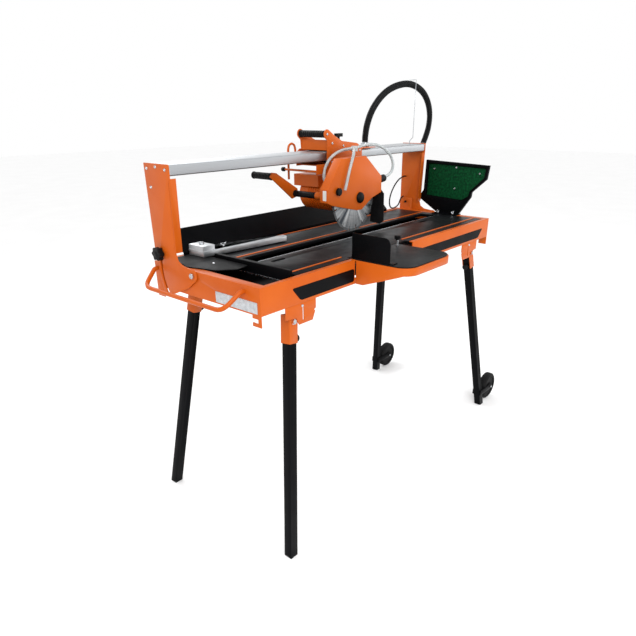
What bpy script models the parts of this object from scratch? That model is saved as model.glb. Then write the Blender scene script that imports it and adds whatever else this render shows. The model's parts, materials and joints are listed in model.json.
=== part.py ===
"""Electric bridge tile saw on four folding legs: a table with a water tray, and a
tilting bridge whose carriage carries a plunging, direct-drive saw head.

Metres, +Z up.  The design is drawn in table coordinates: x runs along the table from
the carry-handle end, y runs from the front edge to the back, z is height above the floor.
"""
import math

import bmesh
import bpy
from mathutils import Matrix, Vector

# ---------------------------------------------------------------- driving dimensions
LENGTH = 1.380            # table frame, along x
WIDTH = 0.484             # table frame, along y
TOP = 0.892               # working surface above the floor
SKIRT = 0.080             # height of the folded skirt
SHEET = 0.003             # folded steel sheet
GAP = 0.0004              # clearance between touching pieces
CENTRE_X = 0.7191        # table coordinates of the origin, under the middle of the saw
CENTRE_Y = 0.1862

BLADE_R = 0.125
BLADE_T = 0.0024
BLADE_AXIS = Vector((0.733, 0.254, 1.0295))
HOOD_Y = (0.224, 0.2600)
ARM_Y = (0.2605, 0.2655)  # the plate that closes the hood's back and carries the motor
MOTOR_R = 0.0600
MOTOR_BACK = 0.4900       # the motor's rear face, along y
HEAD_PIVOT = Vector((0.845, 0.30, 1.120))
TILT_PIVOT = Vector((0.0, 0.285, 0.878))
TILT_KNOB = Vector((0.0, 0.430, 0.925))

RAIL_Y = (0.348, 0.466)
RAIL_Z = (1.155, 1.185)
RAIL_WALL = 0.004
ROLLER_R = 0.0085
CHEEK_Y = (0.330, 0.483)  # outer face of the front cheek, inner face of the rear cheek
GRIP_AXIS = (0.671, 1.2460)
REAR_PLATE_Y = 0.4600     # the plate that holds the grip's rear end
SADDLE_Z = 1.1935         # top of the plate that joins the cheeks over the rail
LOCK_KNOB = (0.7725, 0.360)
HOOK_R = 0.0042
TUBE_R = 0.0054
HOSE_R = 0.0130
HANGER_X = 1.285
POST_SHEET = 0.004
POST_GAP = 0.0015

SLOT_Y = (0.2215, 0.292)
NOTCH_X = (0.417, 0.760)
MAT_X = (0.165, 1.346)

LEG_SIDE = 0.030
LEG_FOOT = Vector((0.013, -0.070, 0.0))
LEG_SLOPE = Vector((0.155, 0.120, 1.0))
LEG_PIVOT_Z = 0.760
WHEEL_R = 0.065
WHEEL_W = 0.035
WHEEL_AXLE = Vector((1.450, -0.062, 0.0665))

ORANGE = (0.76, 0.15, 0.025)
BLACK = (0.012, 0.012, 0.014)
RUBBER = (0.040, 0.043, 0.047)
STEEL = (0.55, 0.56, 0.58)
ALUMINIUM = (0.62, 0.63, 0.65)
GREEN = (0.004, 0.045, 0.018)
CLEAR = (0.62, 0.66, 0.66)

AXES = {"x": 0, "y": 1, "z": 2}


# ---------------------------------------------------------------- scene, materials, tree
def clear_scene():
    for item in list(bpy.data.objects):
        bpy.data.objects.remove(item, do_unlink=True)


def collection(name):
    group = bpy.data.collections.get(name) or bpy.data.collections.new(name)
    if group.name not in bpy.context.scene.collection.children:
        bpy.context.scene.collection.children.link(group)
    return group


def material(name, colour, roughness, metallic=0.0):
    made = bpy.data.materials.get(name) or bpy.data.materials.new(name)
    made.use_nodes = True
    made.diffuse_color = (*colour, 1.0)
    shader = made.node_tree.nodes["Principled BSDF"]
    shader.inputs["Base Color"].default_value = (*colour, 1.0)
    shader.inputs["Roughness"].default_value = roughness
    shader.inputs["Metallic"].default_value = metallic
    return made


clear_scene()
PARTS = collection("bridge_tile_saw")
CUTTERS = collection("cutters")
PAINT = material("orange_powder_coat", ORANGE, 0.38)
COAT = material("black_powder_coat", BLACK, 0.42)
PLASTIC = material("black_plastic", BLACK, 0.35)
MAT = material("table_rubber", RUBBER, 0.30)
ZINC = material("zinc_steel", STEEL, 0.30, 1.0)
ALU = material("anodised_aluminium", ALUMINIUM, 0.35, 1.0)
LINER = material("green_liner", GREEN, 0.45)
TUBE = material("clear_tube", CLEAR, 0.25)


def pivot(name, place, parent=None):
    """An empty on a joint's axis.  Its place is in table coordinates."""
    empty = bpy.data.objects.new(name, None)
    empty.empty_display_size = 0.03
    PARTS.objects.link(empty)
    empty["place"] = tuple(place)
    if parent is None:
        empty.location = Vector(place)
    else:
        empty.parent = parent
        empty.location = Vector(place) - Vector(parent["place"])
    return empty


ORIGIN = pivot("saw_origin", (0.0, 0.0, 0.0))
ORIGIN.location = (-CENTRE_X, -CENTRE_Y, 0.0)
BRIDGE = pivot("bridge_tilt_axis", (LENGTH / 2, TILT_PIVOT.y, TILT_PIVOT.z), ORIGIN)
CARRIAGE = pivot("carriage_slide_axis", (0.80, sum(RAIL_Y) / 2, sum(RAIL_Z) / 2), BRIDGE)
HEAD = pivot("head_plunge_axis", HEAD_PIVOT, CARRIAGE)
SPINDLE = pivot("blade_spin_axis", BLADE_AXIS, HEAD)
EXTENSION = pivot("extension_slide_axis", (0.56, 0.0, TOP), ORIGIN)


def attach(item, parent):
    """Parents an object that is drawn in table coordinates to an axis empty."""
    item.parent = parent
    item.matrix_parent_inverse = Matrix.Translation(-Vector(parent["place"]))


def adopt(mesh, name, mat, parent):
    item = bpy.data.objects.new(name, mesh)
    PARTS.objects.link(item)
    if mat is not None:
        mesh.materials.append(mat)
    attach(item, parent)
    return item


# ---------------------------------------------------------------- shapes
def box_mesh(name, size):
    mesh = bpy.data.meshes.new(name)
    work = bmesh.new()
    bmesh.ops.create_cube(work, size=1.0)
    bmesh.ops.scale(work, vec=size, verts=work.verts)
    work.to_mesh(mesh)
    work.free()
    return mesh


def box(name, low, high, mat, parent, bevel=0.0):
    low, high = Vector(low), Vector(high)
    item = adopt(box_mesh(name, high - low), name, mat, parent)
    item.location = (low + high) / 2
    if bevel:
        soften(item, bevel)
    return item


def soften(item, width, segments=1):
    bevel = item.modifiers.new("edges", "BEVEL")
    bevel.width = width
    bevel.segments = segments
    bevel.limit_method = "ANGLE"
    return bevel


def aim(axis):
    """Rotation that turns +Z to the given direction."""
    return Vector((0, 0, 1)).rotation_difference(Vector(axis).normalized()).to_euler()


def rod(name, start, end, radius, mat, parent, sides=20):
    start, end = Vector(start), Vector(end)
    mesh = bpy.data.meshes.new(name)
    work = bmesh.new()
    bmesh.ops.create_cone(work, cap_ends=True, segments=sides, radius1=radius, radius2=radius,
                          depth=(end - start).length)
    work.to_mesh(mesh)
    work.free()
    mesh.shade_smooth()
    mesh.set_sharp_from_angle(angle=math.radians(40))
    item = adopt(mesh, name, mat, parent)
    item.location = (start + end) / 2
    item.rotation_euler = aim(end - start)
    return item


def turned(name, profile, place, axis, mat, parent, steps=28):
    """A profile of (radius, height) pairs, turned about an axis.

    One that starts and ends on the axis makes a solid. Any other is closed on itself:
    it runs down its outer side and back up its inner side."""
    mesh = bpy.data.meshes.new(name)
    work = bmesh.new()
    points = [work.verts.new((radius, 0.0, height)) for radius, height in profile]
    on_axis = profile[0][0] == 0.0 and profile[-1][0] == 0.0
    following = points[1:] if on_axis else points[1:] + points[:1]
    for first, second in zip(points, following):
        work.edges.new((first, second))
    work.to_mesh(mesh)
    work.free()
    item = adopt(mesh, name, mat, parent)
    screw = item.modifiers.new("turn", "SCREW")
    screw.steps = steps
    screw.render_steps = steps
    screw.use_merge_vertices = True
    screw.merge_threshold = 0.00001
    screw.use_smooth_shade = False
    item.location = Vector(place)
    item.rotation_euler = aim(axis)
    return item


def solid_from_curve(curve_object):
    """Replaces a curve object by a mesh object with welded caps."""
    bpy.context.view_layer.update()
    graph = bpy.context.evaluated_depsgraph_get()
    mesh = bpy.data.meshes.new_from_object(curve_object.evaluated_get(graph))
    work = bmesh.new()
    work.from_mesh(mesh)
    bmesh.ops.remove_doubles(work, verts=work.verts, dist=0.00001)
    bmesh.ops.recalc_face_normals(work, faces=work.faces)
    work.to_mesh(mesh)
    work.free()
    name = curve_object.name
    matrix = curve_object.matrix_world.copy()
    bpy.data.objects.remove(curve_object, do_unlink=True)
    mesh.name = name
    return mesh, name, matrix


# Rotations that stand a flat outline up: its own z becomes the named axis.
STAND = {
    "z": Matrix.Identity(4),
    "y": Matrix(((1, 0, 0, 0), (0, 0, 1, 0), (0, 1, 0, 0), (0, 0, 0, 1))),
    "x": Matrix(((0, 0, 1, 0), (1, 0, 0, 0), (0, 1, 0, 0), (0, 0, 0, 1))),
}


def plate(name, outline, axis, span, mat, parent):
    """A flat outline extruded along an axis over a span.

    The outline's two coordinates are the remaining axes in x, y, z order."""
    flat = bpy.data.curves.new(name + "_outline", "CURVE")
    flat.dimensions = "2D"
    flat.fill_mode = "BOTH"
    flat.extrude = (span[1] - span[0]) / 2
    line = flat.splines.new("POLY")
    line.points.add(len(outline) - 1)
    for point, (first, second) in zip(line.points, outline):
        point.co = (first, second, 0.0, 1.0)
    line.use_cyclic_u = True
    holder = bpy.data.objects.new(name, flat)
    PARTS.objects.link(holder)
    mesh, name, _ = solid_from_curve(holder)
    middle = Vector((0.0, 0.0, 0.0))
    middle[AXES[axis]] = (span[0] + span[1]) / 2
    mesh.transform(STAND[axis])
    if STAND[axis].determinant() < 0:
        mesh.flip_normals()
    item = adopt(mesh, name, mat, parent)
    item.location = middle
    return item


def tube(name, points, radius, mat, parent, resolution=2, cyclic=False):
    path = bpy.data.curves.new(name + "_path", "CURVE")
    path.dimensions = "3D"
    path.bevel_depth = radius
    path.bevel_resolution = resolution
    path.use_fill_caps = True
    line = path.splines.new("POLY")
    line.points.add(len(points) - 1)
    for knot, point in zip(line.points, points):
        knot.co = (*point, 1.0)
    line.use_cyclic_u = cyclic
    holder = bpy.data.objects.new(name, path)
    PARTS.objects.link(holder)
    mesh, name, _ = solid_from_curve(holder)
    return adopt(mesh, name, mat, parent)


def hide_cutter(item):
    for group in list(item.users_collection):
        group.objects.unlink(item)
    CUTTERS.objects.link(item)
    item.hide_render = True
    item.display_type = "WIRE"


def combine(target, tool, operation):
    hide_cutter(tool)
    step = target.modifiers.new(tool.name, "BOOLEAN")
    step.operation = operation
    step.object = tool
    return target


def cut(target, *tools):
    for tool in tools:
        combine(target, tool, "DIFFERENCE")


def unite(target, *tools):
    for tool in tools:
        combine(target, tool, "UNION")


def arc(centre, radius, start_deg, end_deg, steps):
    """Points of an arc in a plane, ends included."""
    points = []
    for index in range(steps + 1):
        turn = math.radians(start_deg + (end_deg - start_deg) * index / steps)
        points.append((centre[0] + radius * math.cos(turn), centre[1] + radius * math.sin(turn)))
    return points


def rounded(corners, radius, steps=5):
    """A closed or open path with each inner corner replaced by a smooth bend."""
    path = [Vector(corners[0])]
    for before, corner, after in zip(corners, corners[1:], corners[2:]):
        before, corner, after = Vector(before), Vector(corner), Vector(after)
        reach = min(radius, (corner - before).length / 2, (after - corner).length / 2)
        first = corner + (before - corner).normalized() * reach
        last = corner + (after - corner).normalized() * reach
        for index in range(steps + 1):
            share = index / steps
            path.append(first * (1 - share) ** 2 + corner * 2 * share * (1 - share) + last * share ** 2)
    path.append(Vector(corners[-1]))
    return path


def smooth_path(knots, per_span=4):
    """A Catmull-Rom curve through the knots."""
    knots = [Vector(knot) for knot in knots]
    ends = [knots[0] * 2 - knots[1]] + knots + [knots[-1] * 2 - knots[-2]]
    path = []
    for index in range(1, len(ends) - 2):
        a, b, c, d = ends[index - 1:index + 3]
        for step in range(per_span):
            t = step / per_span
            path.append(0.5 * (2 * b + (c - a) * t + (2 * a - 5 * b + 4 * c - d) * t ** 2
                               + (3 * b - a - 3 * c + d) * t ** 3))
    path.append(knots[-1])
    return path


def star(radius, depth, lobes, points):
    """Outline of a lobed hand knob."""
    outline = []
    for index in range(points):
        turn = 2 * math.pi * index / points
        reach = radius - depth * (0.5 - 0.5 * math.cos(lobes * turn))
        outline.append((reach * math.cos(turn), reach * math.sin(turn)))
    return outline


def shifted(outline, first, second):
    return [(a + first, b + second) for a, b in outline]


# ---------------------------------------------------------------- table
def make_table_frame():
    low = TOP - SKIRT
    frame = box("table_frame", (0, 0, low), (LENGTH, WIDTH, TOP), PAINT, ORIGIN)
    cut(frame,
        box("frame_inside", (SHEET, SHEET, low - 0.02), (LENGTH - SHEET, WIDTH - SHEET, TOP - SHEET),
            None, ORIGIN),
        box("frame_mouth", (0.030, 0.016, TOP - 0.02), (LENGTH - 0.030, WIDTH - 0.016, TOP + 0.01),
            None, ORIGIN),
        box("frame_notch", (NOTCH_X[0], -0.01, TOP - 0.060), (NOTCH_X[1], 0.0165, TOP + 0.01),
            None, ORIGIN))
    for side, x in (("left", 0.0), ("right", LENGTH - SHEET)):
        for end, y in (("front", 0.0), ("rear", WIDTH - 0.035)):
            unite(frame, box("corner_drop_%s_%s" % (side, end), (x, y, low - 0.033),
                             (x + SHEET, y + 0.035, low + 0.001), None, ORIGIN))
        unite(frame, box("knob_upstand_" + side, (x, 0.395, TOP - 0.005),
                         (x + SHEET, 0.462, TILT_KNOB.z + 0.018), None, ORIGIN))
    reach = (-0.01, LENGTH + 0.01)
    cut(frame,
        rod("frame_pivot_bore", (reach[0], TILT_PIVOT.y, TILT_PIVOT.z),
            (reach[1], TILT_PIVOT.y, TILT_PIVOT.z), 0.0056, None, ORIGIN, 16),
        rod("frame_knob_bore", (reach[0], TILT_KNOB.y, TILT_KNOB.z),
            (reach[1], TILT_KNOB.y, TILT_KNOB.z), 0.0048, None, ORIGIN, 16),
        box("hook_slot", (-0.01, 0.012, low - 0.022), (0.01, 0.05, low - 0.010), None, ORIGIN))


def make_tray_and_top():
    tray = box("water_tray", (0.036, 0.030, 0.826), (1.344, 0.458, 0.860), COAT, ORIGIN)
    cut(tray, box("tray_inside", (0.038, 0.032, 0.828), (1.342, 0.456, 0.90), None, ORIGIN))
    box("water_pump", (1.10, 0.375, 0.8285), (1.18, 0.440, 0.872), PLASTIC, ORIGIN, 0.004)

    top = box("table_plate", (MAT_X[0], 0.020, 0.8805), (MAT_X[1], 0.462, 0.8882), COAT, ORIGIN)
    mat = box("table_mat", (MAT_X[0], 0.020, 0.8886), (MAT_X[1], 0.462, TOP), MAT, ORIGIN)
    for target in (top, mat):
        cut(target,
            box("notch_in_" + target.name, (NOTCH_X[0], 0.0, 0.85), (NOTCH_X[1], 0.034, 0.95), None, ORIGIN),
            box("slot_in_" + target.name, (0.200, SLOT_Y[0], 0.85), (1.300, SLOT_Y[1], 0.95), None, ORIGIN))
    for index, (x, y) in enumerate(((0.258, 0.185), (1.130, 0.184))):
        hole = arc((x - 0.022, y), 0.008, 90, 270, 6) + arc((x + 0.022, y), 0.008, -90, 90, 6)
        cut(top, plate("plate_finger_hole_%d" % index, hole, "z", (0.85, 0.95), None, ORIGIN))
        cut(mat, plate("mat_finger_hole_%d" % index, hole, "z", (0.85, 0.95), None, ORIGIN))
    box("end_fence", (0.148, 0.030, 0.866), (0.160, 0.366, 0.906), COAT, ORIGIN, 0.001)


def make_guards():
    inner = [(0.4645, 0.864), (0.4645, 0.9010), (0.5330, 0.9670)]
    outer = [(0.5345, 0.9655), (0.4665, 0.9000), (0.4665, 0.864)]
    plate("rear_splash_guard", inner + outer, "x", (0.10, 1.27), COAT, ORIGIN)

    edge = [(0.155, 0.8925), (0.104, 0.969), (0.102, 0.990), (0.038, 1.049), (0.032, 1.106),
            (0.341, 1.117), (0.345, 0.985), (0.370, 0.950), (0.272, 0.8925)]
    pocket = [(0.148, 0.950), (0.115, 0.972), (0.112, 0.993), (0.049, 1.053), (0.045, 1.095),
              (0.331, 1.105), (0.333, 0.960)]
    guard = plate("side_splash_guard", edge, "x", (1.393, 1.407), COAT, ORIGIN)
    cut(guard, plate("guard_pocket", pocket, "x", (1.38, 1.405), None, ORIGIN))
    for index, y in enumerate((0.165, 0.225)):
        unite(guard, box("guard_tab_%d" % index, (LENGTH + GAP, y, 0.880), (1.407, y + 0.025, 0.884),
                         None, ORIGIN),
              box("guard_riser_%d" % index, (1.403, y, 0.880), (1.407, y + 0.025, 0.900), None, ORIGIN))
    liner = [(0.151, 0.953), (0.117, 0.974), (0.114, 0.995), (0.051, 1.055), (0.048, 1.092),
             (0.329, 1.102), (0.331, 0.963)]
    plate("guard_liner", liner, "x", (1.4025, 1.4046), LINER, ORIGIN)


def make_carry_handle():
    corners = [(-GAP, 0.470, 0.871), (-0.012, 0.470, 0.871), (-0.070, 0.445, 0.830), (-0.070, 0.078, 0.830),
               (-0.012, 0.065, 0.873), (-GAP, 0.065, 0.873)]
    tube("carry_handle", rounded(corners, 0.030), 0.007, PAINT, ORIGIN)


# ---------------------------------------------------------------- legs
def leg_frame(mirror_x, mirror_y):
    """Place and turn of a leg: its z runs up the leg and its y is the hinge axis."""
    up = Vector((LEG_SLOPE.x * mirror_x, LEG_SLOPE.y * mirror_y, 1.0))
    foot = Vector((LEG_FOOT.x if mirror_x > 0 else LENGTH - LEG_FOOT.x,
                   LEG_FOOT.y if mirror_y > 0 else WIDTH - LEG_FOOT.y, 0.0))
    place = foot + up * LEG_PIVOT_Z
    z_axis = up.normalized()
    y_axis = z_axis.cross(Vector((1, 0, 0))).normalized()
    x_axis = y_axis.cross(z_axis)
    turn = Matrix((x_axis, y_axis, z_axis)).transposed().to_4x4()
    return place, turn


def in_leg_frame(item, centre, place, turn):
    item.location = place + turn.to_3x3() @ Vector(centre)
    item.rotation_euler = turn.to_euler()
    return item


def leg_box(name, low, high, frame, mat, parent):
    low, high = Vector(low), Vector(high)
    item = adopt(box_mesh(name, high - low), name, mat, parent)
    return in_leg_frame(item, (low + high) / 2, *frame)


def leg_rod(name, start, end, radius, frame, mat, parent, sides=16):
    place, turn = frame
    turn3 = turn.to_3x3()
    return rod(name, place + turn3 @ Vector(start), place + turn3 @ Vector(end), radius, mat, parent,
               sides)


def make_leg(tag, mirror_x, mirror_y):
    frame = leg_frame(mirror_x, mirror_y)
    axis = pivot("leg_fold_axis_" + tag, frame[0], ORIGIN)
    half = LEG_SIDE / 2
    length = 0.80
    leg = leg_box("leg_" + tag, (-half, -half, -length), (half, half, 0.0), frame, COAT, axis)
    unite(leg, leg_rod("leg_top_" + tag, (0, -half, 0), (0, half, 0), half - 0.0001, frame, None, axis, 20))
    if mirror_x < 0:
        make_wheel(tag, leg, axis, mirror_y)
    cut(leg,
        leg_box("leg_inside_" + tag, (-half + 0.002, -half + 0.002, -length - 0.01),
                (half - 0.002, half - 0.002, -0.02), frame, None, axis),
        leg_rod("leg_bore_" + tag, (0, -0.03, 0), (0, 0.03, 0), 0.0045, frame, None, axis),
        box("floor_cut_" + tag, frame[0] + Vector((-0.4, -0.4, -LEG_PIVOT_Z - 0.2)),
            frame[0] + Vector((0.4, 0.4, -LEG_PIVOT_Z)), None, axis))
    make_leg_bracket(tag, frame, mirror_x, mirror_y)
    spot = Vector((mirror_x * (half + 0.0005), 0, -0.055))
    knob_axis = pivot("leg_knob_axis_" + tag, frame[0] + frame[1].to_3x3() @ spot, axis)
    leg_rod("leg_knob_" + tag, spot, spot + Vector((mirror_x * 0.0195, 0, 0)), 0.012, frame, PLASTIC,
            knob_axis, 10)


def make_leg_bracket(tag, frame, mirror_x, mirror_y):
    wall = 0.0028
    inner = LEG_SIDE / 2 + 0.0006
    outer = inner + wall
    side = -mirror_x
    reach = (-0.017, outer - 0.001)
    low_x, high_x = sorted((side * reach[0], side * reach[1]))
    bracket = leg_box("leg_bracket_" + tag, (low_x, -outer, -0.066), (high_x, outer, 0.020), frame,
                      PAINT, ORIGIN)
    gap_x = sorted((side * (inner), side * -0.05))
    cut(bracket, leg_box("bracket_channel_" + tag, (gap_x[0], -inner, -0.09), (gap_x[1], inner, 0.05),
                         frame, None, ORIGIN))
    face = 0.0 if mirror_y > 0 else WIDTH - SHEET
    low = TOP - SKIRT

    def across(x):
        return x if mirror_x > 0 else LENGTH - x

    outline = [(0.096, low - GAP), (0.227, low - GAP), (0.227, 0.782), (0.219, 0.778), (0.224, 0.773),
               (0.212, 0.747), (0.152, 0.747), (0.140, 0.770), (0.096, 0.775)]
    unite(bracket, plate("bracket_plate_" + tag, [(across(x), z) for x, z in outline], "y",
                         (face, face + SHEET), None, ORIGIN))
    cut(bracket,
        box("slot_down_" + tag, Vector((min(across(0.168), across(0.173)), face - 0.005, 0.758)),
            Vector((max(across(0.168), across(0.173)), face + 0.008, 0.797)), None, ORIGIN))
    out = -mirror_y
    unite(bracket,
          leg_rod("pin_" + tag, (0, out * -0.0240, 0), (0, out * 0.0190, 0), 0.0040, frame, None, ORIGIN, 12),
          leg_rod("pin_head_" + tag, (0, out * 0.0180, 0), (0, out * 0.0240, 0), 0.0078, frame, None, ORIGIN,
                  6))


def make_wheel(tag, leg, axis, mirror_y):
    y = WHEEL_AXLE.y if mirror_y > 0 else WIDTH - WHEEL_AXLE.y
    hub = Vector((WHEEL_AXLE.x, y, WHEEL_AXLE.z))
    half = WHEEL_W / 2
    fork = box("fork_" + tag, (1.345, y - half - 0.004, hub.z - 0.013), (hub.x + 0.014, y + half + 0.004,
               hub.z + 0.013), None, axis)
    cut(fork, box("fork_gap_" + tag, (1.3815, y - half - 0.001, hub.z - 0.03),
                  (hub.x + 0.03, y + half + 0.001, hub.z + 0.03), None, axis))
    unite(leg, fork,
          rod("axle_" + tag, (hub.x, y - half - 0.009, hub.z), (hub.x, y + half + 0.009, hub.z), 0.0045,
              None, axis, 12))
    spin = pivot("wheel_spin_axis_" + tag, hub, axis)
    profile = [(0.058, half - 0.001), (WHEEL_R - 0.002, half - 0.004), (WHEEL_R, 0.006), (WHEEL_R, -0.006),
               (WHEEL_R - 0.002, -half + 0.004), (0.058, -half + 0.001), (0.050, -half + 0.004),
               (0.020, -half + 0.006), (0.016, -half), (0.0050, -half), (0.0050, half), (0.016, half),
               (0.020, half - 0.006), (0.050, half - 0.004)]
    turned("wheel_" + tag, profile, hub, (0, 1, 0), PLASTIC, spin, 32)


def make_legs():
    for tag, mirror_x, mirror_y in (("front_left", 1, 1), ("rear_left", 1, -1), ("front_right", -1, 1),
                                    ("rear_right", -1, -1)):
        make_leg(tag, mirror_x, mirror_y)


# ---------------------------------------------------------------- bridge
def make_post(side):
    outer = -POST_GAP - POST_SHEET if side == "left" else LENGTH + POST_GAP
    span = (outer, outer + POST_SHEET)
    centre = (TILT_PIVOT.y, TILT_PIVOT.z)
    web = [(0.466, 1.187), (0.346, 1.187), (0.346, 1.148), (0.352, 1.140), (0.358, 0.935), (0.350, 0.912),
           (0.330, 0.901), (0.290, 0.897)]
    web += arc(centre, 0.020, 90, 250, 8)
    web += [(0.310, 0.835), (0.400, 0.797)]
    web += arc(centre, 0.171, -29, -2, 6)
    web += [(0.463, 0.930)]
    post = plate(side + "_post", web, "x", span, PAINT, BRIDGE)
    flange = sorted((span[0], LENGTH - 0.018)) if side == "right" else [span[0], 0.018]
    if side == "right":
        flange = [LENGTH - 0.018, span[1]]
    unite(post, plate(side + "_flange", [(0.3465, 1.1480), (0.3500, 1.1480), (0.3565, 0.935),
                                         (0.3530, 0.935)], "x", flange, None, BRIDGE))
    reach = arc(centre, 0.1525 + 0.0052, 20, -32, 12) + arc(centre, 0.1525 - 0.0052, -32, 20, 12)
    cut(post, plate(side + "_tilt_slot", reach, "x", (span[0] - 0.01, span[1] + 0.01), None, BRIDGE),
        rod(side + "_pivot_bore", (span[0] - 0.01, *centre), (span[1] + 0.01, *centre), 0.0056, None,
            BRIDGE, 16))


def make_bridge():
    make_post("left")
    make_post("right")
    rail = box("guide_rail", (-0.0010, RAIL_Y[0], RAIL_Z[0]), (LENGTH + 0.0010, RAIL_Y[1], RAIL_Z[1]), ALU,
               BRIDGE, 0.003)
    cut(rail, box("rail_inside", (-0.01, RAIL_Y[0] + RAIL_WALL, RAIL_Z[0] + RAIL_WALL),
                  (LENGTH + 0.01, RAIL_Y[1] - RAIL_WALL, RAIL_Z[1] - RAIL_WALL), None, BRIDGE))
    y, z = TILT_PIVOT.y, TILT_PIVOT.z
    reach = POST_GAP + POST_SHEET
    for side, face, out in (("left", -reach, -1), ("right", LENGTH + reach, 1)):
        bolt = rod("tilt_pivot_bolt_" + side, (face + out * 0.003, y, z), (face - out * 0.020, y, z), 0.0050,
                   ZINC, BRIDGE, 12)
        unite(bolt, rod("pivot_head_" + side, (face + out * GAP, y, z), (face + out * 0.0058, y, z), 0.0090,
                        None, BRIDGE, 6))
        make_tilt_knob(side, face, out)


def make_tilt_knob(side, face, out):
    y, z = TILT_KNOB.y, TILT_KNOB.z
    axis = pivot("tilt_knob_axis_" + side, (face, y, z), ORIGIN)
    span = sorted((face + out * 0.004, face + out * 0.022))
    knob = plate("tilt_knob_" + side, shifted(star(0.0215, 0.005, 6, 36), y, z), "x", span, PLASTIC, axis)
    unite(knob, rod("knob_stud_" + side, (face + out * 0.010, y, z), (face - out * 0.016, y, z), 0.0042,
                    None, axis, 12))


# ---------------------------------------------------------------- carriage
def make_carriage():
    y0, y1 = CHEEK_Y
    lower = [(0.672, 1.132), (0.822, 1.132), (0.828, 1.104), (0.862, 1.104), (0.867, 1.135), (0.883, 1.150)]
    crown = arc(GRIP_AXIS, 0.0165, 60, 215, 8)
    slope = [(0.8812, 1.1946), (0.8486, 1.2103), (0.7565, 1.2209), (0.7153, 1.2393)]
    frame = plate("carriage_frame", lower + slope + crown + [(0.672, 1.225)], "y", (y0, y0 + SHEET), PAINT,
                  CARRIAGE)
    rear = REAR_PLATE_Y
    unite(frame,
          plate("rear_cheek", lower + [(0.883, SADDLE_Z - 0.001), (0.690, SADDLE_Z - 0.001),
                                       (0.672, 1.180)], "y", (y1, y1 + SHEET), None, CARRIAGE),
          plate("rear_plate", [(0.6755, 1.1920), (0.745, 1.1920), (0.7565, 1.2209), (0.7153, 1.2393)] + crown
                + [(0.672, 1.225)], "y", (rear, rear + SHEET), None, CARRIAGE),
          box("carriage_web", (0.6765, y0 + 0.001, 1.1912), (0.6795, rear + 0.001, 1.2265), None, CARRIAGE),
          box("carriage_floor", (0.700, y0 + 0.001, 1.1325), (0.820, y1 + 0.001, 1.1355), None, CARRIAGE),
          box("carriage_saddle", (0.735, y0 + 0.001, SADDLE_Z - 0.003), (0.845, y1 + 0.001, SADDLE_Z), None,
              CARRIAGE),
          box("carriage_roof", (0.752, y0 + 0.001, 1.208), (0.800, rear + 0.001, 1.211), None, CARRIAGE),
          box("roof_post", (0.742, rear - 0.004, SADDLE_Z - 0.002), (0.7555, rear + 0.002, 1.2100), None,
              CARRIAGE),
          box("hose_tab", (0.878, y0 + 0.001, 1.1890), (0.972, 0.388, 1.1915), None, CARRIAGE))
    cut(frame, rod("cheek_bores", (HEAD_PIVOT.x, y0 - 0.01, HEAD_PIVOT.z), (HEAD_PIVOT.x, y1 + 0.02,
        HEAD_PIVOT.z), 0.0066, None, CARRIAGE, 16))
    for name, x, z in (("roller_upper_left", 0.712, RAIL_Z[1] + ROLLER_R + GAP),
                       ("roller_upper_right", 0.862, RAIL_Z[1] + ROLLER_R + GAP),
                       ("roller_lower", 0.785, RAIL_Z[0] - ROLLER_R - GAP)):
        spin = pivot(name + "_axis", (x, sum(CHEEK_Y) / 2, z), CARRIAGE)
        rod(name, (x, y0 + 0.006, z), (x, REAR_PLATE_Y - 0.001, z), ROLLER_R, PLASTIC, spin, 20)
    x, z = GRIP_AXIS
    rod("handle_grip", (x, y0 + SHEET + GAP, z), (x, rear - GAP, z), 0.0130, PLASTIC, CARRIAGE, 16)
    rod("hose_clamp", (0.948, 0.366, 1.1919), (0.948, 0.366, 1.2070), 0.0165, ZINC, CARRIAGE, 16)

    x, y = LOCK_KNOB
    lock = pivot("carriage_lock_axis", (x, y, 1.211), CARRIAGE)
    knob = rod("carriage_lock_knob", (x, y, 1.2114), (x, y, 1.238), 0.0050, PLASTIC, lock, 12)
    unite(knob, box("lock_wing", (x - 0.020, y - 0.005, 1.234), (x + 0.020, y + 0.005, 1.246), None, lock))

    y = y1 + SHEET + HOOK_R + 0.0006
    hook = [(0.720, y, 1.150), (0.673, y, 1.150), (0.673, y, 1.192), (0.668, y, 1.206), (0.6535, y, 1.2125),
            (0.639, y, 1.206), (0.634, y, 1.192), (0.634, y, 1.085)]
    tube("cable_hook", rounded(hook, 0.006, 4), HOOK_R, PAINT, CARRIAGE)


# ---------------------------------------------------------------- saw head
def make_hood():
    y0, y1 = HOOD_Y
    outline = [(0.624, 1.170), (0.765, 1.173), (0.869, 1.095), (0.872, 1.036), (0.811, 1.020),
               (0.749, 0.985), (0.718, 0.985), (0.572, 1.018), (0.548, 1.029), (0.548, 1.073)]
    inside = [(0.6255, 1.167), (0.764, 1.170), (0.8660, 1.0935), (0.8690, 1.034), (0.869, 0.95),
              (0.552, 0.95), (0.551, 1.072)]
    hood = plate("blade_hood", outline, "y", (y0, y1), PAINT, HEAD)
    cut(hood, plate("hood_inside", inside, "y", (y0 + SHEET, y1 + SHEET), None, HEAD))
    x, z = BLADE_AXIS.x, BLADE_AXIS.z
    dome = [(0.0, 0.0150), (0.008, 0.0140), (0.015, 0.0105), (0.0195, 0.0045), (0.0200, 0.0), (0.0, 0.0)]
    turned("hood_cap", dome, (x, y0 - GAP, z), (0, -1, 0), PLASTIC, HEAD, 24)


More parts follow.
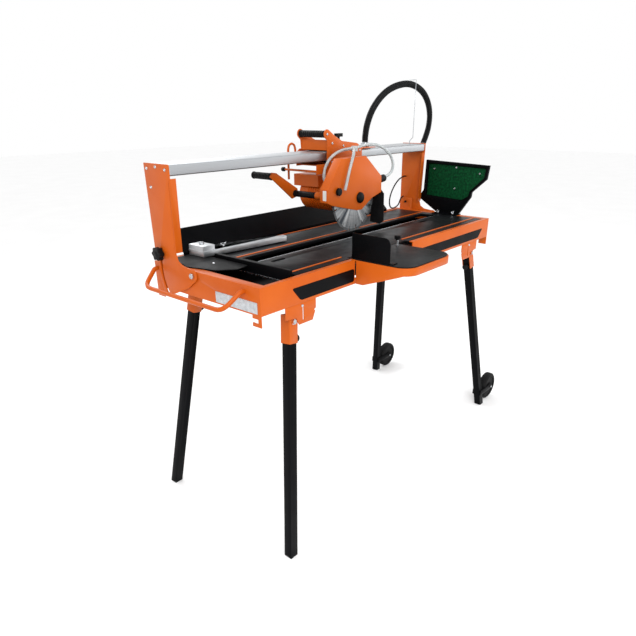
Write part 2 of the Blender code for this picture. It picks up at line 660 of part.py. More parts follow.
def make_motor():
    x, z = BLADE_AXIS.x, BLADE_AXIS.z
    front = ARM_Y[1] + GAP
    motor = rod("motor_housing", (x, front, z), (x, MOTOR_BACK, z), MOTOR_R, PAINT, HEAD, 36)
    unite(motor, box("terminal_box", (0.672, 0.375, 1.060), (0.788, 0.500, 1.103), None, HEAD))
    cut(motor, rod("motor_bore", (x, 0.25, z), (x, 0.345, z), 0.0165, None, HEAD, 20),
        rod("motor_hollow", (x, 0.290, z), (x, MOTOR_BACK - 0.010, z), 0.049, None, HEAD, 36))

    pivot_lobe = arc((HEAD_PIVOT.x, HEAD_PIVOT.z), 0.016, -30, 110, 8)
    arm = plate("head_arm", [(0.5605, 1.060), (0.5605, 1.032), (0.620, 1.012), (0.716, 0.992), (0.750, 0.992),
                             (0.806, 1.0235), (0.866, 1.040), (0.866, 1.090)] + pivot_lobe +
                [(0.772, 1.1655), (0.628, 1.1635), (0.5605, 1.075)], "y", ARM_Y, PAINT, HEAD)
    unite(arm, rod("pivot_pin", (HEAD_PIVOT.x, ARM_Y[0] + 0.0005, HEAD_PIVOT.z),
                   (HEAD_PIVOT.x, CHEEK_Y[1] + 0.008, HEAD_PIVOT.z), 0.0060, None, HEAD, 16),
          rod("grip_boss", (0.575, ARM_Y[1] - 0.001, 1.046), (0.575, 0.2976, 1.046), 0.0140, None, HEAD, 20))
    cut(arm, rod("arm_bore", (x, 0.25, z), (x, 0.28, z), 0.0165, None, HEAD, 20))
    rod("grip_side", (0.575, 0.2979, 1.046), (0.575, 0.4046, 1.046), 0.0120, PLASTIC, HEAD, 16)
    plate("lever_plate", [(0.562, 1.028), (0.594, 1.036), (0.590, 1.062), (0.482, 1.124), (0.462, 1.127),
                          (0.452, 1.112), (0.468, 1.100)], "y", (0.4050, 0.4110), PAINT, HEAD)
    rod("grip_rear", (0.466, 0.4114, 1.113), (0.466, 0.5060, 1.113), 0.0128, PLASTIC, HEAD, 16)


def make_blade():
    x, y, z = BLADE_AXIS
    half = BLADE_T / 2
    turned("saw_blade", [(BLADE_R, half), (BLADE_R, -half), (0.0127, -half), (0.0127, half)],
           (x, y, z), (0, 1, 0), ZINC, SPINDLE, 60)
    face = half + 0.0003
    spindle = [(0.0, 0.080), (0.0122, 0.080), (0.0122, face + 0.004), (0.030, face + 0.004), (0.030, face),
               (0.0122, face), (0.0122, -face), (0.030, -face), (0.030, -face - 0.006),
               (0.012, -face - 0.006), (0.012, -0.024), (0.0, -0.024)]
    turned("blade_spindle", spindle, (x, y, z), (0, 1, 0), ZINC, SPINDLE, 20)


def make_water_parts():
    tee = box("water_tubes", (0.766, 0.276, 1.186), (0.784, 0.294, 1.204), TUBE, HEAD)
    left = smooth_path([(0.772, 0.287, 1.196), (0.720, 0.304, 1.190), (0.672, 0.312, 1.169),
                        (0.642, 0.314, 1.136), (0.632, 0.312, 1.104), (0.636, 0.306, 1.078)])
    front = smooth_path([(0.774, 0.283, 1.194), (0.725, 0.250, 1.197), (0.680, 0.216, 1.182),
                         (0.655, 0.211, 1.140), (0.640, 0.212, 1.095), (0.632, 0.214, 1.066)])
    right = smooth_path([(0.778, 0.285, 1.196), (0.845, 0.280, 1.206), (0.915, 0.272, 1.199),
                         (0.972, 0.264, 1.169), (0.994, 0.258, 1.130), (0.972, 0.252, 1.098),
                         (0.915, 0.245, 1.083)])
    for name, path in (("tube_left", left), ("tube_front", front), ("tube_right", right)):
        unite(tee, tube(name, path, TUBE_R, None, HEAD))
    unite(tee, rod("connector", (0.8728, 0.243, 1.079), (0.9155, 0.245, 1.083), 0.0135, None, HEAD, 16))


def make_flap():
    axis = pivot("flap_axis", (0.8765, 0.242, 1.040), HEAD)
    plate("splash_flap", [(0.228, 1.043), (0.215, 1.030), (0.212, 0.925), (0.230, 0.913), (0.276, 0.917),
                          (0.271, 1.000), (0.256, 1.043)], "x", (0.8745, 0.8785), PLASTIC, axis)


# ---------------------------------------------------------------- hose, cable
HOSE_KNOTS = [
    (0.948, 0.366, 1.2080), (0.950, 0.366, 1.235), (0.962, 0.367, 1.275), (0.992, 0.368, 1.322),
    (1.040, 0.369, 1.364), (1.100, 0.370, 1.396), (1.170, 0.370, 1.416), (1.245, 0.370, 1.424),
    (1.315, 0.370, 1.415), (1.378, 0.370, 1.390), (1.422, 0.370, 1.350), (1.442, 0.370, 1.302),
    (1.438, 0.370, 1.252), (1.420, 0.370, 1.214), (1.405, 0.372, 1.186),
]


def make_hose():
    tube("conduit_hose", smooth_path(HOSE_KNOTS, 3), HOSE_R, PLASTIC, BRIDGE)
    hanger = [(0.3700, 1.1855), (0.3700, 1.200), (0.3540, 1.215), (0.3540, 1.4400), (0.3700, 1.4402),
              (0.3860, 1.4400), (0.3860, 1.418)]
    tube("hose_hanger", [(HANGER_X, y, z) for y, z in hanger], 0.0016, ZINC, BRIDGE, 1)
    cable = [(1.3804, 0.440, 1.040), (1.362, 0.440, 1.0405), (1.325, 0.4405, 1.030), (1.290, 0.441, 1.005),
             (1.264, 0.4415, 0.970), (1.256, 0.442, 0.935), (1.270, 0.443, 0.909), (1.300, 0.4435, 0.9035),
             (1.335, 0.444, 0.914), (1.354, 0.444, 0.940), (1.3755, 0.444, 0.9495)]
    tube("pump_cable", smooth_path(cable, 4), 0.0030, PLASTIC, BRIDGE)


# ---------------------------------------------------------------- extension table, guides
def rounded_table(x0, x1, y0, y1, radius):
    """Outline of the extension's top: square at the saw, round at its outer corners."""
    outer = arc((x0 + radius, y0 + radius), radius, 180, 270, 6) + arc((x1 - radius, y0 + radius), radius,
                                                                        270, 360, 6)
    return outer + [(x1, y1), (x0, y1)]


def make_extension():
    x0, x1, y0, y1 = 0.420, 0.700, -0.200, 0.030
    skin = TOP - 0.0036
    tray = plate("extension_tray", rounded_table(x0, x1, y0, y1, 0.055), "z", (skin - SHEET, skin), PAINT,
                 EXTENSION)
    rim = plate("extension_rim", rounded_table(x0, x1, y0, -0.002, 0.055), "z", (0.812, skin - 0.001), None,
                EXTENSION)
    cut(rim, plate("rim_inside", rounded_table(x0 + SHEET, x1 - SHEET, y0 + SHEET, 0.02, 0.052), "z",
                   (0.80, 0.90), None, EXTENSION),
        plate("rim_taper", [(-0.030, 0.80), (-0.030, 0.812), (-0.175, 0.864), (-0.25, 0.864), (-0.25, 0.80)],
              "x", (0.3, 0.8), None, EXTENSION))
    unite(tray, rim)
    for index, x in enumerate((0.455, 0.645)):
        unite(tray, box("runner_%d" % index, (x, -0.180, 0.8680), (x + 0.020, 0.180, 0.8770), None,
                        EXTENSION),
              box("runner_pad_%d" % index, (x, -0.170, 0.8765), (x + 0.020, -0.020, skin - 0.002), None,
                  EXTENSION))
    plate("extension_mat", rounded_table(x0 + 0.004, x1 - 0.004, y0 + 0.004, y1 - 0.001, 0.051), "z",
          (skin + GAP, TOP), MAT, EXTENSION)
    panel = [(0.020, TOP + GAP), (0.020, 0.972)] + shifted(arc((0, 0), 0.022, 90, 180, 5), -0.103, 0.950)
    panel += [(-0.125, TOP + GAP)]
    stop = plate("stop_plate", panel, "x", (0.426, 0.430), COAT, EXTENSION)
    unite(stop, box("stop_foot", (0.4295, -0.135, TOP + GAP), (0.4560, -0.022, TOP + 0.0034), None,
                    EXTENSION))
    for tag, x in (("left", 0.443), ("right", 0.664)):
        axis = pivot("extension_knob_axis_" + tag, (x, 0.004, TOP), EXTENSION)
        knob = rod("extension_knob_" + tag, (x, 0.004, TOP + GAP), (x, 0.004, 0.918), 0.0045, PLASTIC,
                   axis, 12)
        unite(knob, rod("knob_head_" + tag, (x, 0.004, 0.914), (x, 0.004, 0.930), 0.0115, None, axis, 12))


def make_mitre_guide():
    plate("mitre_base", [(0.012, 0.330), (0.040, 0.230), (0.090, 0.190), (0.144, 0.200), (0.144, 0.456),
                         (0.050, 0.456)], "z", (TOP + GAP, TOP + 0.0034), COAT, ORIGIN)
    axis = pivot("mitre_axis", (0.140, 0.418, 0.90), ORIGIN)
    bar = plate("mitre_guide", [(0.115, 0.380), (0.168, 0.376), (0.250, 0.368), (0.470, 0.352),
                                (0.474, 0.374), (0.330, 0.398), (0.240, 0.428), (0.168, 0.456),
                                (0.115, 0.456)], "z",
                (TOP + 0.0040, 0.914), ALU, axis)
    unite(bar, box("mitre_head", (0.116, 0.381, 0.905), (0.164, 0.455, 0.930), None, axis))


def build():
    make_table_frame()
    make_tray_and_top()
    make_guards()
    make_carry_handle()
    make_legs()
    make_bridge()
    make_carriage()
    make_hood()
    make_motor()
    make_blade()
    make_water_parts()
    make_flap()
    make_hose()
    make_extension()
    make_mitre_guide()


build()
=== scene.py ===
# %% [markdown]
# # Bridge tile saw
# This saw stands on four folding legs. A wet table carries the tile, and a saw head hangs
# from a rail above it. The mechanical model is already there as a fixed frame: every piece
# below is built in the same metres, rides on one of its bodies and takes its place from it.

# %% Load the frame
import math

import bpy
import json
from mathutils import Matrix, Vector


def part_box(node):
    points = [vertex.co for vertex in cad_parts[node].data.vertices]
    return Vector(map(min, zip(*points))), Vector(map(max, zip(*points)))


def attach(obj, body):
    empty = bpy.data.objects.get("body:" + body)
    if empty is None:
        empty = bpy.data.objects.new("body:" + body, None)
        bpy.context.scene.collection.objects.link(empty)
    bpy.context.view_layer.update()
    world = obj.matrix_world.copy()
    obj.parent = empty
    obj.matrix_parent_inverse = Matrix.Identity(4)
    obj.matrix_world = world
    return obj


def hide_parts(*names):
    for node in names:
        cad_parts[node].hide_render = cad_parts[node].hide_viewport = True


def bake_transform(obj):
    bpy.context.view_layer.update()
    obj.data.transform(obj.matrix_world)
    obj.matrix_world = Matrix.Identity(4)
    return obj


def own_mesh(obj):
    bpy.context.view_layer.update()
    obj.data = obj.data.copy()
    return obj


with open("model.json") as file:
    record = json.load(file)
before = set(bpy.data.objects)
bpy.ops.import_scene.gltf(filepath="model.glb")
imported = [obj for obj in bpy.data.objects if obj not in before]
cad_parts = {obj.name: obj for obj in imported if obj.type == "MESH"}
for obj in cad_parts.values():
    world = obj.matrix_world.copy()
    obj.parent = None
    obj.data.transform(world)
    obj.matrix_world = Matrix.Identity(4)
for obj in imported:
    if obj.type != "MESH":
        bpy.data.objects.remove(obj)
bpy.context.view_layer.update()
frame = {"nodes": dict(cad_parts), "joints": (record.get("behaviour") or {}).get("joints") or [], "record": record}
NODES = frame["nodes"]
SLOT_OF = {part["node"]: part["material_slot"] for part in frame["record"]["subparts"]}
BODIES = frame["record"]["behaviour"]["bodies"]
BODY_OF = {node: body for body, nodes in BODIES.items() for node in nodes}
JOINT = {joint["name"]: joint for joint in frame["joints"]}
MM = 0.001
ENDS = ("front_left", "rear_left", "front_right", "rear_right")
# The design counts x from the table's left end and y from its front edge.
TABLE = Vector((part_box("table_frame")[0].x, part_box("table_frame")[0].y, 0.0))


def spot(x, y, z):
    """A point of the shared frame from the table's own x, y and the height above the floor."""
    return TABLE + Vector((x, y, z))


# %% [markdown]
# ## The camera
# The saw is seen from its front left, a little above the rail. The lens is a moderate wide
# one, and its small vertical shift keeps the legs almost upright in the frame.

# %% Camera
LENS_MM, SENSOR_MM = 30.99, 36.0
SHIFT_X, SHIFT_Y = -0.0019, 0.0758
EYE = spot(-0.959, -1.043, 1.318)
YAW, PITCH, ROLL = math.radians(48.98), math.radians(-24.89), math.radians(-0.37)
camera_data = bpy.data.cameras.new("product_camera")
camera_data.lens = LENS_MM
camera_data.sensor_width = SENSOR_MM
camera_data.shift_x = SHIFT_X
camera_data.shift_y = SHIFT_Y
camera_data.clip_end = 60.0
camera = bpy.data.objects.new("product_camera", camera_data)
bpy.context.scene.collection.objects.link(camera)
aim = Matrix.Rotation(-YAW, 4, "Z") @ Matrix.Rotation(math.pi / 2 + PITCH, 4, "X")
camera.matrix_world = Matrix.Translation(EYE) @ aim @ Matrix.Rotation(ROLL, 4, "Z")
bpy.context.scene.camera = camera
print("camera at", [round(v, 3) for v in EYE])

# %% [markdown]
# ## Light and floor
# A white floor and a white sky give the plain ground of a catalogue picture. One large soft
# light from the upper left shapes the saw, a weaker one opens the shadows on the right, and a
# long strip behind the rail draws a bright line along the aluminium.

# %% Floor, sky and lights
world = bpy.data.worlds.new("studio")
bpy.context.scene.world = world
world.use_nodes = True
sky = world.node_tree.nodes["Background"]
sky.inputs["Color"].default_value = (1.0, 1.0, 1.0, 1.0)
sky.inputs["Strength"].default_value = 1.0
bpy.context.scene.view_settings.view_transform = "Standard"


def soft_light(name, place, target, size, watts):
    """A rectangular area light that points at a target."""
    lamp = bpy.data.lights.new(name, "AREA")
    lamp.shape = "RECTANGLE"
    lamp.size, lamp.size_y = size
    lamp.energy = watts
    holder = bpy.data.objects.new(name, lamp)
    bpy.context.scene.collection.objects.link(holder)
    holder.location = place
    holder.rotation_euler = (Vector(target) - Vector(place)).to_track_quat("-Z", "Y").to_euler()


soft_light("key_softbox", (-2.2, -2.4, 3.0), (0.0, 0.2, 0.9), (1.8, 1.8), 70)
soft_light("fill_softbox", (2.8, -2.2, 2.0), (0.2, 0.2, 0.8), (2.0, 1.6), 26)
soft_light("rear_strip", (0.3, 2.6, 2.8), (0.0, 0.2, 1.0), (2.6, 0.6), 34)


# %% [markdown]
# ## Materials
# Each finish is a small tree of shader nodes. Its colour starts as an ordinary screen colour,
# which one function turns into linear light. Patterns are sized in millimetres through the
# object coordinates, so grain and grit keep their real scale on every piece.

# %% Material helpers
def linear(code):
    """Linear light from an sRGB hex colour."""
    parts = [int(code[i:i + 2], 16) / 255 for i in (1, 3, 5)]
    return [c / 12.92 if c <= 0.04045 else ((c + 0.055) / 1.055) ** 2.4 for c in parts] + [1.0]


def add(tree, kind, inputs=None, links=None, **settings):
    """Adds one node, sets its properties and inputs, and links outputs into it."""
    made = tree.nodes.new(kind)
    for key, value in settings.items():
        setattr(made, key, value)
    for key, value in (inputs or {}).items():
        made.inputs[key].default_value = value
    for key, source in (links or {}).items():
        tree.links.new(source, made.inputs[key])
    return made


def start(name, **shader_inputs):
    """An empty finish: returns its material, its tree, its shader and object coordinates."""
    made = bpy.data.materials.new(name)
    made.use_nodes = True
    tree = made.node_tree
    shader = tree.nodes["Principled BSDF"]
    for key, value in shader_inputs.items():
        shader.inputs[key.replace("_", " ")].default_value = value
    where = add(tree, "ShaderNodeTexCoord")
    return made, tree, shader, where.outputs["Object"]


def mottled(tree, shader, where, size_mm, low, high, detail=3.0):
    """Varies the base colour softly between two colours over patches of a real size."""
    cloud = add(tree, "ShaderNodeTexNoise", {"Scale": 1000 / size_mm, "Detail": detail},
                {"Vector": where})
    ramp = add(tree, "ShaderNodeValToRGB", None, {"Fac": cloud.outputs["Fac"]})
    ramp.color_ramp.elements[0].position = 0.3
    ramp.color_ramp.elements[1].position = 0.7
    ramp.color_ramp.elements[0].color = linear(low)
    ramp.color_ramp.elements[1].color = linear(high)
    tree.links.new(ramp.outputs["Color"], shader.inputs["Base Color"])


def roughness_between(tree, shader, where, size_mm, low, high):
    """Breaks the gloss up softly between two roughness values over patches of a real size."""
    cloud = add(tree, "ShaderNodeTexNoise", {"Scale": 1000 / size_mm, "Detail": 4.0},
                {"Vector": where})
    spread = add(tree, "ShaderNodeMapRange",
                 {"From Min": 0.3, "From Max": 0.7, "To Min": low, "To Max": high},
                 {"Value": cloud.outputs["Fac"]})
    tree.links.new(spread.outputs["Result"], shader.inputs["Roughness"])


def grit(tree, shader, where, size_mm, depth_mm, detail=2.0):
    """A fine bump of the given grain size and depth."""
    grain = add(tree, "ShaderNodeTexNoise", {"Scale": 1000 / size_mm, "Detail": detail},
                {"Vector": where})
    bump = add(tree, "ShaderNodeBump", {"Strength": 1.0, "Distance": depth_mm * MM},
               {"Height": grain.outputs["Fac"]})
    tree.links.new(bump.outputs["Normal"], shader.inputs["Normal"])


# %% [markdown]
# ### Powder-coated sheet steel
# Powder is sprayed on and melted in an oven. It leaves an even, slightly rippled skin, so the
# gloss breaks up softly. The orange has faint lighter and darker patches.

# %% Powder coats
def orange_powder_coat():
    made, tree, shader, where = start("orange_powder_coat_on_steel",
                                      IOR=1.5, Specular_IOR_Level=0.18)
    mottled(tree, shader, where, 160, "#BE5410", "#C85E16")
    roughness_between(tree, shader, where, 60, 0.30, 0.42)
    grit(tree, shader, where, 2.2, 0.05)
    return made


def black_powder_coat():
    made, tree, shader, where = start("black_powder_coat_on_steel",
                                      IOR=1.5, Specular_IOR_Level=0.05)
    mottled(tree, shader, where, 140, "#060708", "#0B0B0E")
    roughness_between(tree, shader, where, 50, 0.34, 0.48)
    grit(tree, shader, where, 1.6, 0.06)
    return made


# %% [markdown]
# ### Plastics and rubber
# Knobs and grips are injection moulded with a spark-eroded, matt texture. The table is faced
# with a smooth rubber sheet that shows a dull reflection of the saw above it. The conduit is a
# satin extruded nylon, and the splash mat in the side guard is a fibrous green.

# %% Plastics and rubber
def moulded_black_plastic():
    made, tree, shader, where = start("moulded_black_polyamide",
                                      IOR=1.5, Specular_IOR_Level=0.10)
    mottled(tree, shader, where, 30, "#0C0C0D", "#131314")
    roughness_between(tree, shader, where, 20, 0.36, 0.50)
    grit(tree, shader, where, 0.9, 0.04)
    return made


def smooth_table_rubber():
    made, tree, shader, where = start("smooth_table_rubber_sheet",
                                      IOR=1.5, Specular_IOR_Level=0.10)
    mottled(tree, shader, where, 90, "#0F1012", "#16181A")
    roughness_between(tree, shader, where, 45, 0.36, 0.46)
    grit(tree, shader, where, 2.0, 0.01)
    return made


def tyre_rubber():
    made, tree, shader, where = start("moulded_tyre_rubber",
                                      IOR=1.5, Specular_IOR_Level=0.12)
    mottled(tree, shader, where, 25, "#0D0D0E", "#151516")
    roughness_between(tree, shader, where, 15, 0.55, 0.70)
    grit(tree, shader, where, 1.2, 0.08)
    return made


def conduit_nylon():
    made, tree, shader, where = start("extruded_black_nylon",
                                      IOR=1.53, Specular_IOR_Level=0.12)
    mottled(tree, shader, where, 50, "#08090A", "#0D0E0F")
    roughness_between(tree, shader, where, 12, 0.26, 0.38)
    return made


def green_splash_mat():
    made, tree, shader, where = start("green_fibre_splash_mat",
                                      IOR=1.45, Specular_IOR_Level=0.08)
    mottled(tree, shader, where, 9, "#042A17", "#0A4E29", 6.0)
    roughness_between(tree, shader, where, 6, 0.45, 0.75)
    grit(tree, shader, where, 3.5, 0.9, 5.0)
    return made


def soft_clear_tube():
    made, tree, shader, where = start("soft_clear_pvc_tube", IOR=1.45, Transmission_Weight=0.35)
    mottled(tree, shader, where, 35, "#B9C1C2", "#D3D9D9")
    roughness_between(tree, shader, where, 20, 0.12, 0.22)
    return made


def white_vinyl():
    made, tree, shader, where = start("printed_white_vinyl", IOR=1.48)
    mottled(tree, shader, where, 60, "#DADBD8", "#E6E6E4")
    roughness_between(tree, shader, where, 20, 0.30, 0.40)
    return made


# %% [markdown]
# ### Bare metals
# A metal keeps its default index of refraction, and its look comes from how it was worked.
# Extrusion draws fine lines along the rail, and zinc plating leaves a soft, slightly cloudy
# mirror. Grinding draws fine rings round the blade. The light those rings throw back in broad
# wedges, lighter and darker by turns, is painted into the blade's base colour as a painted
# sheen, so the blade's pattern is built on polar coordinates: the distance from the centre and
# the angle round it.

# %% Metals
def extruded_aluminium():
    made, tree, shader, where = start("extruded_aluminium_rail", Metallic=1.0)
    shader.inputs["Base Color"].default_value = linear("#B4B7BA")
    drawn = add(tree, "ShaderNodeMapping", {"Scale": (1.2, 420.0, 420.0)}, {"Vector": where})
    lines = add(tree, "ShaderNodeTexNoise", {"Scale": 1.0, "Detail": 4.0},
                {"Vector": drawn.outputs["Vector"]})
    spread = add(tree, "ShaderNodeMapRange",
                 {"From Min": 0.3, "From Max": 0.7, "To Min": 0.42, "To Max": 0.56},
                 {"Value": lines.outputs["Fac"]})
    bump = add(tree, "ShaderNodeBump", {"Strength": 1.0, "Distance": 0.03 * MM},
               {"Height": lines.outputs["Fac"]})
    tree.links.new(spread.outputs["Result"], shader.inputs["Roughness"])
    tree.links.new(bump.outputs["Normal"], shader.inputs["Normal"])
    return made


def cast_aluminium():
    made, tree, shader, where = start("cast_and_milled_aluminium", Metallic=1.0)
    mottled(tree, shader, where, 40, "#B9BCBF", "#CDD0D2")
    roughness_between(tree, shader, where, 18, 0.34, 0.52)
    grit(tree, shader, where, 1.5, 0.05)
    return made


def zinc_plated_steel():
    made, tree, shader, where = start("zinc_plated_steel", Metallic=1.0)
    mottled(tree, shader, where, 12, "#B4B7BB", "#D0D3D6")
    roughness_between(tree, shader, where, 8, 0.22, 0.36)
    return made


def ground_blade_steel(centre):
    """Fine ground rings round a centre, under broad wedges of painted sheen, lighter and darker by turns, painted
    into the base colour.
    """
    made, tree, shader, where = start("ground_blade_steel", Metallic=1.0)
    away = add(tree, "ShaderNodeVectorMath", {1: centre}, {0: where}, operation="SUBTRACT")
    split = add(tree, "ShaderNodeSeparateXYZ", None, {"Vector": away.outputs["Vector"]})
    reach = add(tree, "ShaderNodeVectorMath", None, {0: away.outputs["Vector"]}, operation="LENGTH")
    angle = add(tree, "ShaderNodeMath", None,
                {0: split.outputs["Z"], 1: split.outputs["X"]}, operation="ARCTAN2")
    polar = add(tree, "ShaderNodeCombineXYZ", None,
                {"X": reach.outputs["Value"], "Y": angle.outputs["Value"]})
    fine = add(tree, "ShaderNodeMapping", {"Scale": (900.0, 1.4, 1.0)},
               {"Vector": polar.outputs["Vector"]})
    rings = add(tree, "ShaderNodeTexNoise", {"Scale": 1.0, "Detail": 3.0},
                {"Vector": fine.outputs["Vector"]})
    # painted sheen: broad wedges of reflected light, lighter and darker by turns round the centre
    broad = add(tree, "ShaderNodeMapping", {"Scale": (0.0, 3.2, 1.0)},
                {"Vector": polar.outputs["Vector"]})
    painted_sheen_wedges = add(tree, "ShaderNodeTexNoise", {"Scale": 1.0, "Detail": 2.0},
                 {"Vector": broad.outputs["Vector"]})
    # the fine rings are the ground grain; the broad wedges added to them are painted sheen, and the ramp below
    # paints both into the base colour
    sheen = add(tree, "ShaderNodeMath", {1: 0.22},
                {0: rings.outputs["Fac"], 2: painted_sheen_wedges.outputs["Fac"]}, operation="MULTIPLY_ADD")
    ramp = add(tree, "ShaderNodeValToRGB", None, {"Fac": sheen.outputs["Value"]})
    ramp.color_ramp.elements[0].position = 0.48
    ramp.color_ramp.elements[1].position = 0.76
    ramp.color_ramp.elements[0].color = linear("#4A5157")
    ramp.color_ramp.elements[1].color = linear("#D3D8DA")
    tree.links.new(ramp.outputs["Color"], shader.inputs["Base Color"])
    spread = add(tree, "ShaderNodeMapRange", {"To Min": 0.24, "To Max": 0.40},
                 {"Value": rings.outputs["Fac"]})
    tree.links.new(spread.outputs["Result"], shader.inputs["Roughness"])
    return made


def diamond_segment():
    made, tree, shader, where = start("sintered_diamond_segment", Metallic=0.8)
    mottled(tree, shader, where, 2, "#4E5052", "#77797A", 5.0)
    roughness_between(tree, shader, where, 2, 0.55, 0.75)
    grit(tree, shader, where, 0.8, 0.12, 5.0)
    return made


# %% [markdown]
# ### Which finish goes where
# The frame names a slot for each of its solids. One table turns a slot into a finish, so the
# frame's solids and the new pieces that stand for them are always painted alike.

# %% Finishes by slot
blade_low, blade_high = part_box("saw_blade")
BLADE_CENTRE = (blade_low + blade_high) / 2
FINISH = {
    "orange_paint": orange_powder_coat(),
    "black_paint": black_powder_coat(),
    "black_plastic": moulded_black_plastic(),
    "table_rubber": smooth_table_rubber(),
    "wheel_rubber": tyre_rubber(),
    "flap_rubber": tyre_rubber(),
    "zinc_steel": zinc_plated_steel(),
    "blade_steel": ground_blade_steel(tuple(BLADE_CENTRE)),
    "rail_aluminium": extruded_aluminium(),
    "guide_aluminium": cast_aluminium(),
    "green_liner": green_splash_mat(),
    "clear_tube": soft_clear_tube(),
    "hose_plastic": conduit_nylon(),
}
LABEL = white_vinyl()
SEGMENT = diamond_segment()
for node, part in NODES.items():
    part.data.materials.clear()
    part.data.materials.append(FINISH[SLOT_OF[node]])
print("finishes", len(FINISH) + 2)

# %% [markdown]
# The floor is a very large, white, matt sheet, so the saw's own shadow is all that grounds it.

# %% Floor
bpy.ops.mesh.primitive_plane_add(size=40.0, location=(0.0, 0.0, 0.0))
floor = bpy.context.object
floor.name = "studio_floor"
made, tree, shader, where = start("matt_studio_paper", Roughness=0.9)
mottled(tree, shader, where, 400, "#FAFAFA", "#FDFDFD")
floor.data.materials.append(made)


# %% [markdown]
# ## Working by hand, in code
# New pieces are made the way a modeller works: a primitive is placed, faces are selected by
# where they are, and extrude, inset and bevel shape them. A few helpers do what every piece
# needs: choosing faces, growing a round piece step by step, standing it in its place,
# rounding its edges, and giving it a finish and a body to ride on.

# %% Modelling helpers
def nothing_selected():
    """Leaves edit mode and deselects everything, so an operator only acts on the new piece."""
    if bpy.context.mode != "OBJECT":
        bpy.ops.object.mode_set(mode="OBJECT")
    bpy.ops.object.select_all(action="DESELECT")


def choose(piece, test):
    """Enters edit mode with the faces selected whose centre and normal pass the test."""
    nothing_selected()
    piece.select_set(True)
    bpy.context.view_layer.objects.active = piece
    bpy.ops.object.mode_set(mode="EDIT")
    bpy.ops.mesh.select_mode(type="FACE")
    bpy.ops.mesh.select_all(action="DESELECT")
    bpy.ops.object.mode_set(mode="OBJECT")
    for face in piece.data.polygons:
        face.select = test(face.center, face.normal)
    bpy.ops.object.mode_set(mode="EDIT")


def grow(name, sides, radius, steps):
    """A round piece along +Z: a disc, extruded step by step by (rise, new radius)."""
    nothing_selected()
    bpy.ops.mesh.primitive_circle_add(vertices=sides, radius=radius, fill_type="NGON")
    piece = bpy.context.object
    piece.name = name
    bpy.ops.object.mode_set(mode="EDIT")
    bpy.ops.mesh.select_all(action="SELECT")
    for rise, new_radius in steps:
        bpy.ops.mesh.extrude_region_move(TRANSFORM_OT_translate={"value": (0.0, 0.0, rise)})
        bpy.ops.transform.resize(value=(new_radius / radius, new_radius / radius, 1.0))
        radius = new_radius
    bpy.ops.mesh.select_all(action="SELECT")
    bpy.ops.mesh.normals_make_consistent(inside=False)
    bpy.ops.object.mode_set(mode="OBJECT")
    return piece


def block(name, low, high):
    """A cube primitive stretched between two corners."""
    nothing_selected()
    low, high = Vector(low), Vector(high)
    bpy.ops.mesh.primitive_cube_add(size=1.0, location=(low + high) / 2, scale=high - low)
    piece = bpy.context.object
    piece.name = name
    bpy.ops.object.transform_apply(location=True, rotation=True, scale=True)
    return piece


def stand(piece, place, axis):
    """Turns a piece grown along +Z to an axis and puts its base at a place."""
    turn = Vector((0, 0, 1)).rotation_difference(Vector(axis).normalized()).to_matrix().to_4x4()
    piece.data.transform(Matrix.Translation(Vector(place)) @ turn @ piece.matrix_world)
    piece.matrix_world = Matrix.Identity(4)
    return piece


def round_edges(piece, width, segments=2, angle=30):
    """Rounds the sharp edges and keeps the flat faces flat to the light."""
    nothing_selected()
    piece.select_set(True)
    bpy.context.view_layer.objects.active = piece
    bpy.ops.object.shade_smooth()
    bevel = piece.modifiers.new("rounded edges", "BEVEL")
    bevel.width = width
    bevel.segments = segments
    bevel.limit_method = "ANGLE"
    bevel.angle_limit = math.radians(angle)
    bevel.harden_normals = True
    bpy.ops.object.modifier_apply(modifier=bevel.name)
    return piece


def finish(piece, body, slot, material=None, replaces=()):
    """Gives a finished piece the material of its slot, or the one given, and the body it rides on."""
    if bpy.context.mode != "OBJECT":
        bpy.ops.object.mode_set(mode="OBJECT")
    piece.data.materials.clear()
    piece.data.materials.append(material or FINISH[slot])
    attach(piece, body)
    if replaces:
        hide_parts(*replaces)
    return piece


# %% [markdown]
# ## Sheet metal with real edges
# Laser-cut and folded sheet never has a perfectly sharp corner: the coat pulls round it and
# catches a thin line of light. Each solid of the frame is copied, its triangles are merged
# back into clean faces, and its edges are rounded by a millimetre or so. A width of zero is
# for wires and tubes, which are only shaded smooth. The rubber splash flap gets a mesh of
# its own.

# %% Softened copies of the frame's solids
SOFT_EDGES = {
    "table_frame": 1.2, "water_tray": 0.8, "table_plate": 0.8, "table_mat": 0.8, "end_fence": 1.0,
    "rear_splash_guard": 0.5, "side_splash_guard": 0.6, "carry_handle": 0.0, "water_pump": 1.0,
    "mitre_base": 0.8, "mitre_guide": 1.5, "extension_tray": 0.9, "extension_mat": 1.0,
    "stop_plate": 0.9, "left_post": 1.0, "right_post": 1.0, "guide_rail": 0.6,
    "tilt_pivot_bolt_left": 0.8, "tilt_pivot_bolt_right": 0.8, "hose_hanger": 0.0,
    "pump_cable": 0.0, "carriage_frame": 0.8, "carriage_lock_knob": 1.2, "hose_clamp": 0.8,
    "cable_hook": 0.0, "head_arm": 0.8, "lever_plate": 0.9, "blade_hood": 1.3,
    "splash_flap": 0.8, "water_tubes": 0.0, "tilt_knob_left": 1.8, "tilt_knob_right": 1.8,
    "guard_liner": 0.4, "blade_spindle": 0.5,
}
for end in ENDS:
    SOFT_EDGES["leg_bracket_" + end] = 0.8
    SOFT_EDGES["leg_" + end] = 1.6


